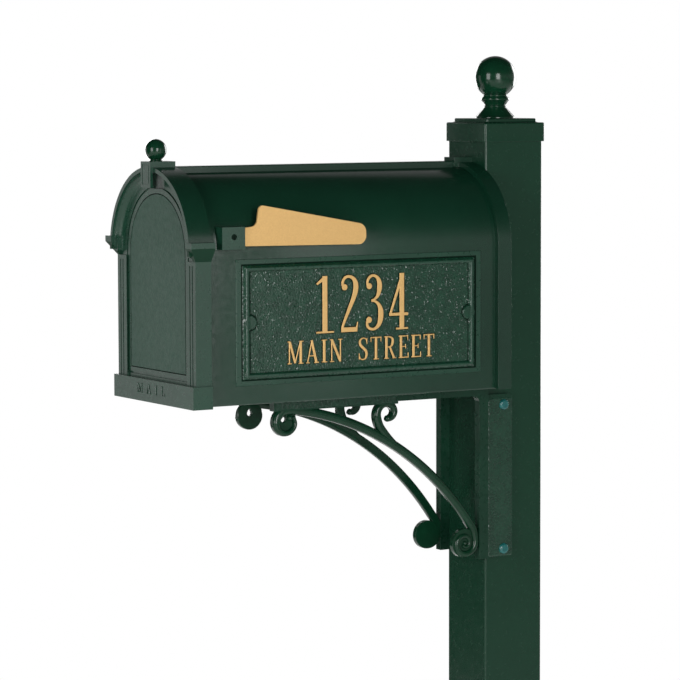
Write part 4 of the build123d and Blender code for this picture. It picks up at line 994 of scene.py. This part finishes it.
# each texture: distance from the middle, ends along the box, lowest and highest place, radius of the upper
# front corner, seed
pebbledPlaces = {
    "_plate_texture": (56.9, -49.5, -7.0, 811.5, 1050.0, 9.0, 20),
    "_web_texture": (59.3, -415.0, -211.0, 1052.6, 1065.6, 0.0, 30),
}


def pebbledPanel(name, turn, x, y0, y1, z0, z1, corner, seed):
    # a shallow cushion of ridged waves over a rectangle whose upper front corner is rounded off
    look = panelLook
    step = look["step"]
    y = np.linspace(y0, y1, max(int((y1 - y0) / step), 6))
    z = np.linspace(z0, z1, max(int((z1 - z0) / step), 6))
    gridY, gridZ = np.meshgrid(y, z)
    inwards = np.minimum(np.minimum(gridY - y0, y1 - gridY), np.minimum(gridZ - z0, z1 - gridZ))
    if corner:
        fromY, fromZ = (y0 + corner) - gridY, gridZ - (z1 - corner)
        inCorner = (fromY > 0) & (fromZ > 0)
        inwards = np.where(inCorner, np.minimum(inwards, corner - np.hypot(fromY, fromZ)), inwards)
    waves = rolledNoise(gridY.shape, step, *look["coarseWaves"], seed)
    fine = look["fineShare"] * rolledNoise(gridY.shape, step, *look["fineWaves"], seed + 1)
    edge = np.clip(inwards / look["edge"], -0.6, 1)
    height = look["rise"] * edge
    height += look["pebble"] * (np.clip(1 - np.abs(waves), -0.3, 1) + fine) * np.clip(edge, 0, 1)
    front = np.stack([x + height, gridY, gridZ], -1)
    back = np.stack([np.full(gridY.shape, x - look["thick"]), gridY, gridZ], -1)
    frontFaces = gridFaces(*gridY.shape, closedColumns=False)
    count, rim = gridY.size, rimOf(*gridY.shape)
    wall = np.stack([rim, np.roll(rim, -1), np.roll(rim, -1) + count, rim + count], -1)
    faces = np.concatenate([frontFaces, frontFaces[:, ::-1] + count, wall])
    points = np.concatenate([front.reshape(-1, 3), back.reshape(-1, 3)]) * (turn, 1, 1)
    putMesh(name, points, faces, "stand", [paints["green_pebbled"]], None, 60)


for turn, side in ((1, "right"), (-1, "left")):
    for name, place in pebbledPlaces.items():
        pebbledPanel(side + name, turn, *place)
print("bracket panels textured")

# the flag's screw takes the darkest green, as painted shade where it sits recessed in the clevis
nodePaints = {
    "post_tube": "green_post", "bracket_bolts": "teal_cap", "bracket_nuts": "teal_cap",
    "body_spacers": "rubber_black", "catch_magnet": "magnet_grey", "flag_washer": "nylon_pale",
    "floor_panel": "green_satin",
    "catch_bracket": "green_satin", "flag_screw": "green_recess", "cap_screws": "green_post",
}
for name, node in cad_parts.items():
    paint = paints[nodePaints.get(name, "steel_plain")]
    if len(node.material_slots) == 0:
        node.data.materials.append(paint)
    for place in node.material_slots:
        place.material = paint
print("CAD nodes painted")

stageLook = {
    # metres, and rings as shares of the way to the edge
    "floorRadius": 6.5, "farEdge": 2.7, "rings": (0.0, 0.06, 0.16, 0.4, 1.0),
    "floorTone": (0.86, 0.86, 0.85), "darker": 0.97, "floorGlow": 0.22, "clouds": 1.5, "rough": 0.9,
}


def makeFloor():
    # a flat round floor, cut straight behind the post and to its left: rings of points, each a share of
    # the way to the edge, with a faint unevenness in its colour
    angle = np.linspace(0, 2 * np.pi, 96, endpoint=False)
    ray = np.column_stack([np.cos(angle), np.sin(angle), 0 * angle])
    away = -np.array(cameraAxes()[2][:2])
    away /= np.linalg.norm(away)
    behind = np.maximum(np.maximum(ray[:, :2] @ away, ray[:, :2] @ (away * (1, -1))), 1e-3)
    reach = np.minimum(stageLook["floorRadius"], stageLook["farEdge"] / behind)
    grid = np.array(stageLook["rings"])[:, None, None] * (ray * reach[:, None])
    faces = gridFaces(len(stageLook["rings"]), len(angle))
    mesh = bpy.data.meshes.new("studio_floor")
    mesh.from_pydata(grid.reshape(-1, 3).tolist(), [], faces.tolist())
    floor = addObject("studio_floor", mesh)
    material = bpy.data.materials.new("floor_paper")
    material.use_nodes = True
    nodes, links = material.node_tree.nodes, material.node_tree.links
    noise = nodes.new("ShaderNodeTexNoise")
    setSockets(noise, {"Scale": stageLook["clouds"]})
    links.new(nodes.new("ShaderNodeTexCoord").outputs["Object"], noise.inputs["Vector"])
    light = stageLook["floorTone"]
    tone = rampOf(nodes, ((0.0, [c * stageLook["darker"] for c in light]), (1.0, light)))
    links.new(noise.outputs["Fac"], tone.inputs["Fac"])
    shader = nodes["Principled BSDF"]
    setSockets(shader, {"Roughness": stageLook["rough"], "Emission Strength": stageLook["floorGlow"]})
    links.new(tone.outputs["Color"], shader.inputs["Base Color"])
    links.new(tone.outputs["Color"], shader.inputs["Emission Color"])
    mesh.materials.append(material)
    work = bmesh.new()
    work.from_mesh(mesh)
    bmesh.ops.remove_doubles(work, verts=work.verts, dist=1e-6)
    bmesh.ops.recalc_face_normals(work, faces=work.faces)
    if sum(face.normal.z for face in work.faces) < 0:
        bmesh.ops.reverse_faces(work, faces=work.faces)
    work.to_mesh(mesh)
    work.free()
    floor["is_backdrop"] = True


cameraLook = {
    "place": (3.9050, -2.6102, 1.5318), "azimuth": 59.09, "elevation": 4.88, "roll": -0.16, "lens": 165.2,
}


def cameraAxes():
    # directions to the right and up in the view, and from the object towards the camera
    azimuth, elevation, roll = (math.radians(cameraLook[k]) for k in ("azimuth", "elevation", "roll"))
    back = Vector((math.sin(azimuth) * math.cos(elevation), -math.cos(azimuth) * math.cos(elevation),
                   math.sin(elevation)))
    level = Vector((math.cos(azimuth), math.sin(azimuth), 0))
    upright = back.cross(level)
    right = math.cos(roll) * level + math.sin(roll) * upright
    up = -math.sin(roll) * level + math.cos(roll) * upright
    return right, up, back


def makeCamera():
    right, up, back = cameraAxes()
    camera = addObject("view_camera", bpy.data.cameras.new("view_camera"))
    camera.data.lens = cameraLook["lens"]
    camera.data.sensor_width = 36
    camera.data.clip_start = 0.05
    camera.data.clip_end = 100
    basis = [[right[i], up[i], back[i], cameraLook["place"][i]] for i in range(3)] + [[0, 0, 0, 1]]
    camera.matrix_world = Matrix(basis)
    bpy.context.scene.camera = camera


lightLook = {
    # place, point it faces, wide and tall, in metres, and watts
    "left_window": ((1.50, -4.60, 1.75), (0.0, -0.25, 1.25), 1.7, 2.6, 115),
    "right_window": ((4.64, -1.48, 1.75), (0.0, -0.25, 1.25), 1.6, 2.6, 150),
    "door_card": ((-0.78, -1.04, 1.18), (0.0, -0.57, 1.25), 0.42, 0.95, 1.25),
    "side_card": ((0.97, -0.13, 1.31), (0.11, -0.64, 1.36), 0.26, 0.72, 0.62),
    "roof_card": ((-1.85, 1.01, 3.20), (0.04, -0.45, 1.385), 2.2, 0.9, 1.1),
    "back_fill": ((-1.10, 3.30, 1.70), (0.0, -0.25, 1.1), 1.8, 2.2, 95),
    "left_fill": ((-3.50, 0.10, 1.60), (0.0, -0.25, 1.1), 1.8, 2.2, 75),
}


def makeLights():
    # soft boxes and pale cards round the object, which the camera itself doesn't see
    for name, (place, aim, wide, tall, watts) in lightLook.items():
        light = bpy.data.lights.new(name, "AREA")
        light.shape = "RECTANGLE"
        light.size = wide
        light.size_y = tall
        light.energy = watts
        lamp = addObject(name, light)
        lamp.location = place
        lamp.rotation_euler = (Vector(aim) - Vector(place)).to_track_quat("-Z", "Y").to_euler()
        lamp.visible_camera = False


worldLook = {
    # brightness by height of the direction, from straight down to straight up
    "byHeight": (
        (0.0, 0.12), (0.40, 0.4), (0.5, 1.0), (0.56, 0.9), (0.62, 0.42), (0.70, 0.14), (0.82, 0.05),
    ),
    # brightness by direction round the object: 0 is at the camera's left, 0.5 in front or behind, 1 right
    "byTurn": ((0.0, 0.04), (0.12, 0.08), (0.5, 0.42), (0.9, 0.66)),
    # brightness by height of the backdrop, and its share
    "backdrop": ((0.0, 0.1), (0.45, 1.0), (0.62, 1.0), (0.72, 0.55), (0.80, 0.18), (0.88, 0.0)),
    "behind": 0.55,
}


def makeWorld():
    # white behind the object; for light and reflections, pale behind it and to the right, and dark overhead
    world = bpy.data.worlds.new("studio")
    bpy.context.scene.world = world
    world.use_nodes = True
    nodes, links = world.node_tree.nodes, world.node_tree.links
    nodes.clear()
    output = nodes.new("ShaderNodeOutputWorld")
    mix = nodes.new("ShaderNodeMixShader")
    surround = nodes.new("ShaderNodeBackground")
    backdrop = nodes.new("ShaderNodeBackground")
    backdrop.inputs["Color"].default_value = (1, 1, 1, 1)
    direction = nodes.new("ShaderNodeTexCoord").outputs["Generated"]
    right, up, back = cameraAxes()

    def share(axis, low, high):
        # how far the direction leans along an axis, as 0 to 1
        lean = nodes.new("ShaderNodeVectorMath")
        lean.operation = "DOT_PRODUCT"
        lean.inputs[1].default_value = axis
        links.new(direction, lean.inputs[0])
        scale = nodes.new("ShaderNodeMapRange")
        scale.interpolation_type = "SMOOTHSTEP"
        scale.inputs["From Min"].default_value = low
        scale.inputs["From Max"].default_value = high
        links.new(lean.outputs["Value"], scale.inputs["Value"])
        return scale.outputs["Result"]

    def combined(kind, first, second):
        maths = nodes.new("ShaderNodeMath")
        maths.operation = kind
        for socket, value in zip(maths.inputs, (first, second)):
            if isinstance(value, float):
                socket.default_value = value
            else:
                links.new(value, socket)
        return maths.outputs["Value"]

    split = nodes.new("ShaderNodeSeparateXYZ")
    links.new(direction, split.inputs["Vector"])
    height = combined("MULTIPLY_ADD", split.outputs["Z"], 0.5)
    height.node.inputs[2].default_value = 0.5
    byHeight = rampOf(nodes, worldLook["byHeight"])
    links.new(height, byHeight.inputs["Fac"])
    byTurn = rampOf(nodes, worldLook["byTurn"])
    links.new(share((right.x, right.y, 0), -1, 1), byTurn.inputs["Fac"])
    behind = combined("MULTIPLY", share((-back.x, -back.y, 0), 0.6, 0.97), worldLook["behind"])
    backdropHeight = rampOf(nodes, worldLook["backdrop"])
    links.new(height, backdropHeight.inputs["Fac"])
    around = combined("MULTIPLY", byTurn.outputs["Color"], byHeight.outputs["Color"])
    beyond = combined("MULTIPLY", behind, backdropHeight.outputs["Color"])
    links.new(combined("ADD", around, beyond), surround.inputs["Strength"])
    links.new(nodes.new("ShaderNodeLightPath").outputs["Is Camera Ray"], mix.inputs["Fac"])
    links.new(surround.outputs["Background"], mix.inputs[1])
    links.new(backdrop.outputs["Background"], mix.inputs[2])
    links.new(mix.outputs["Shader"], output.inputs["Surface"])


makeFloor()
makeCamera()
makeLights()
makeWorld()
bpy.context.scene.view_settings.view_transform = "Standard"
print("floor, lights and camera set")

bpy.context.view_layer.update()
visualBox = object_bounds()
sizes = {"cad": [list(map(float, corner)) for corner in cadBox],
         "visual": [list(map(float, corner)) for corner in visualBox]}
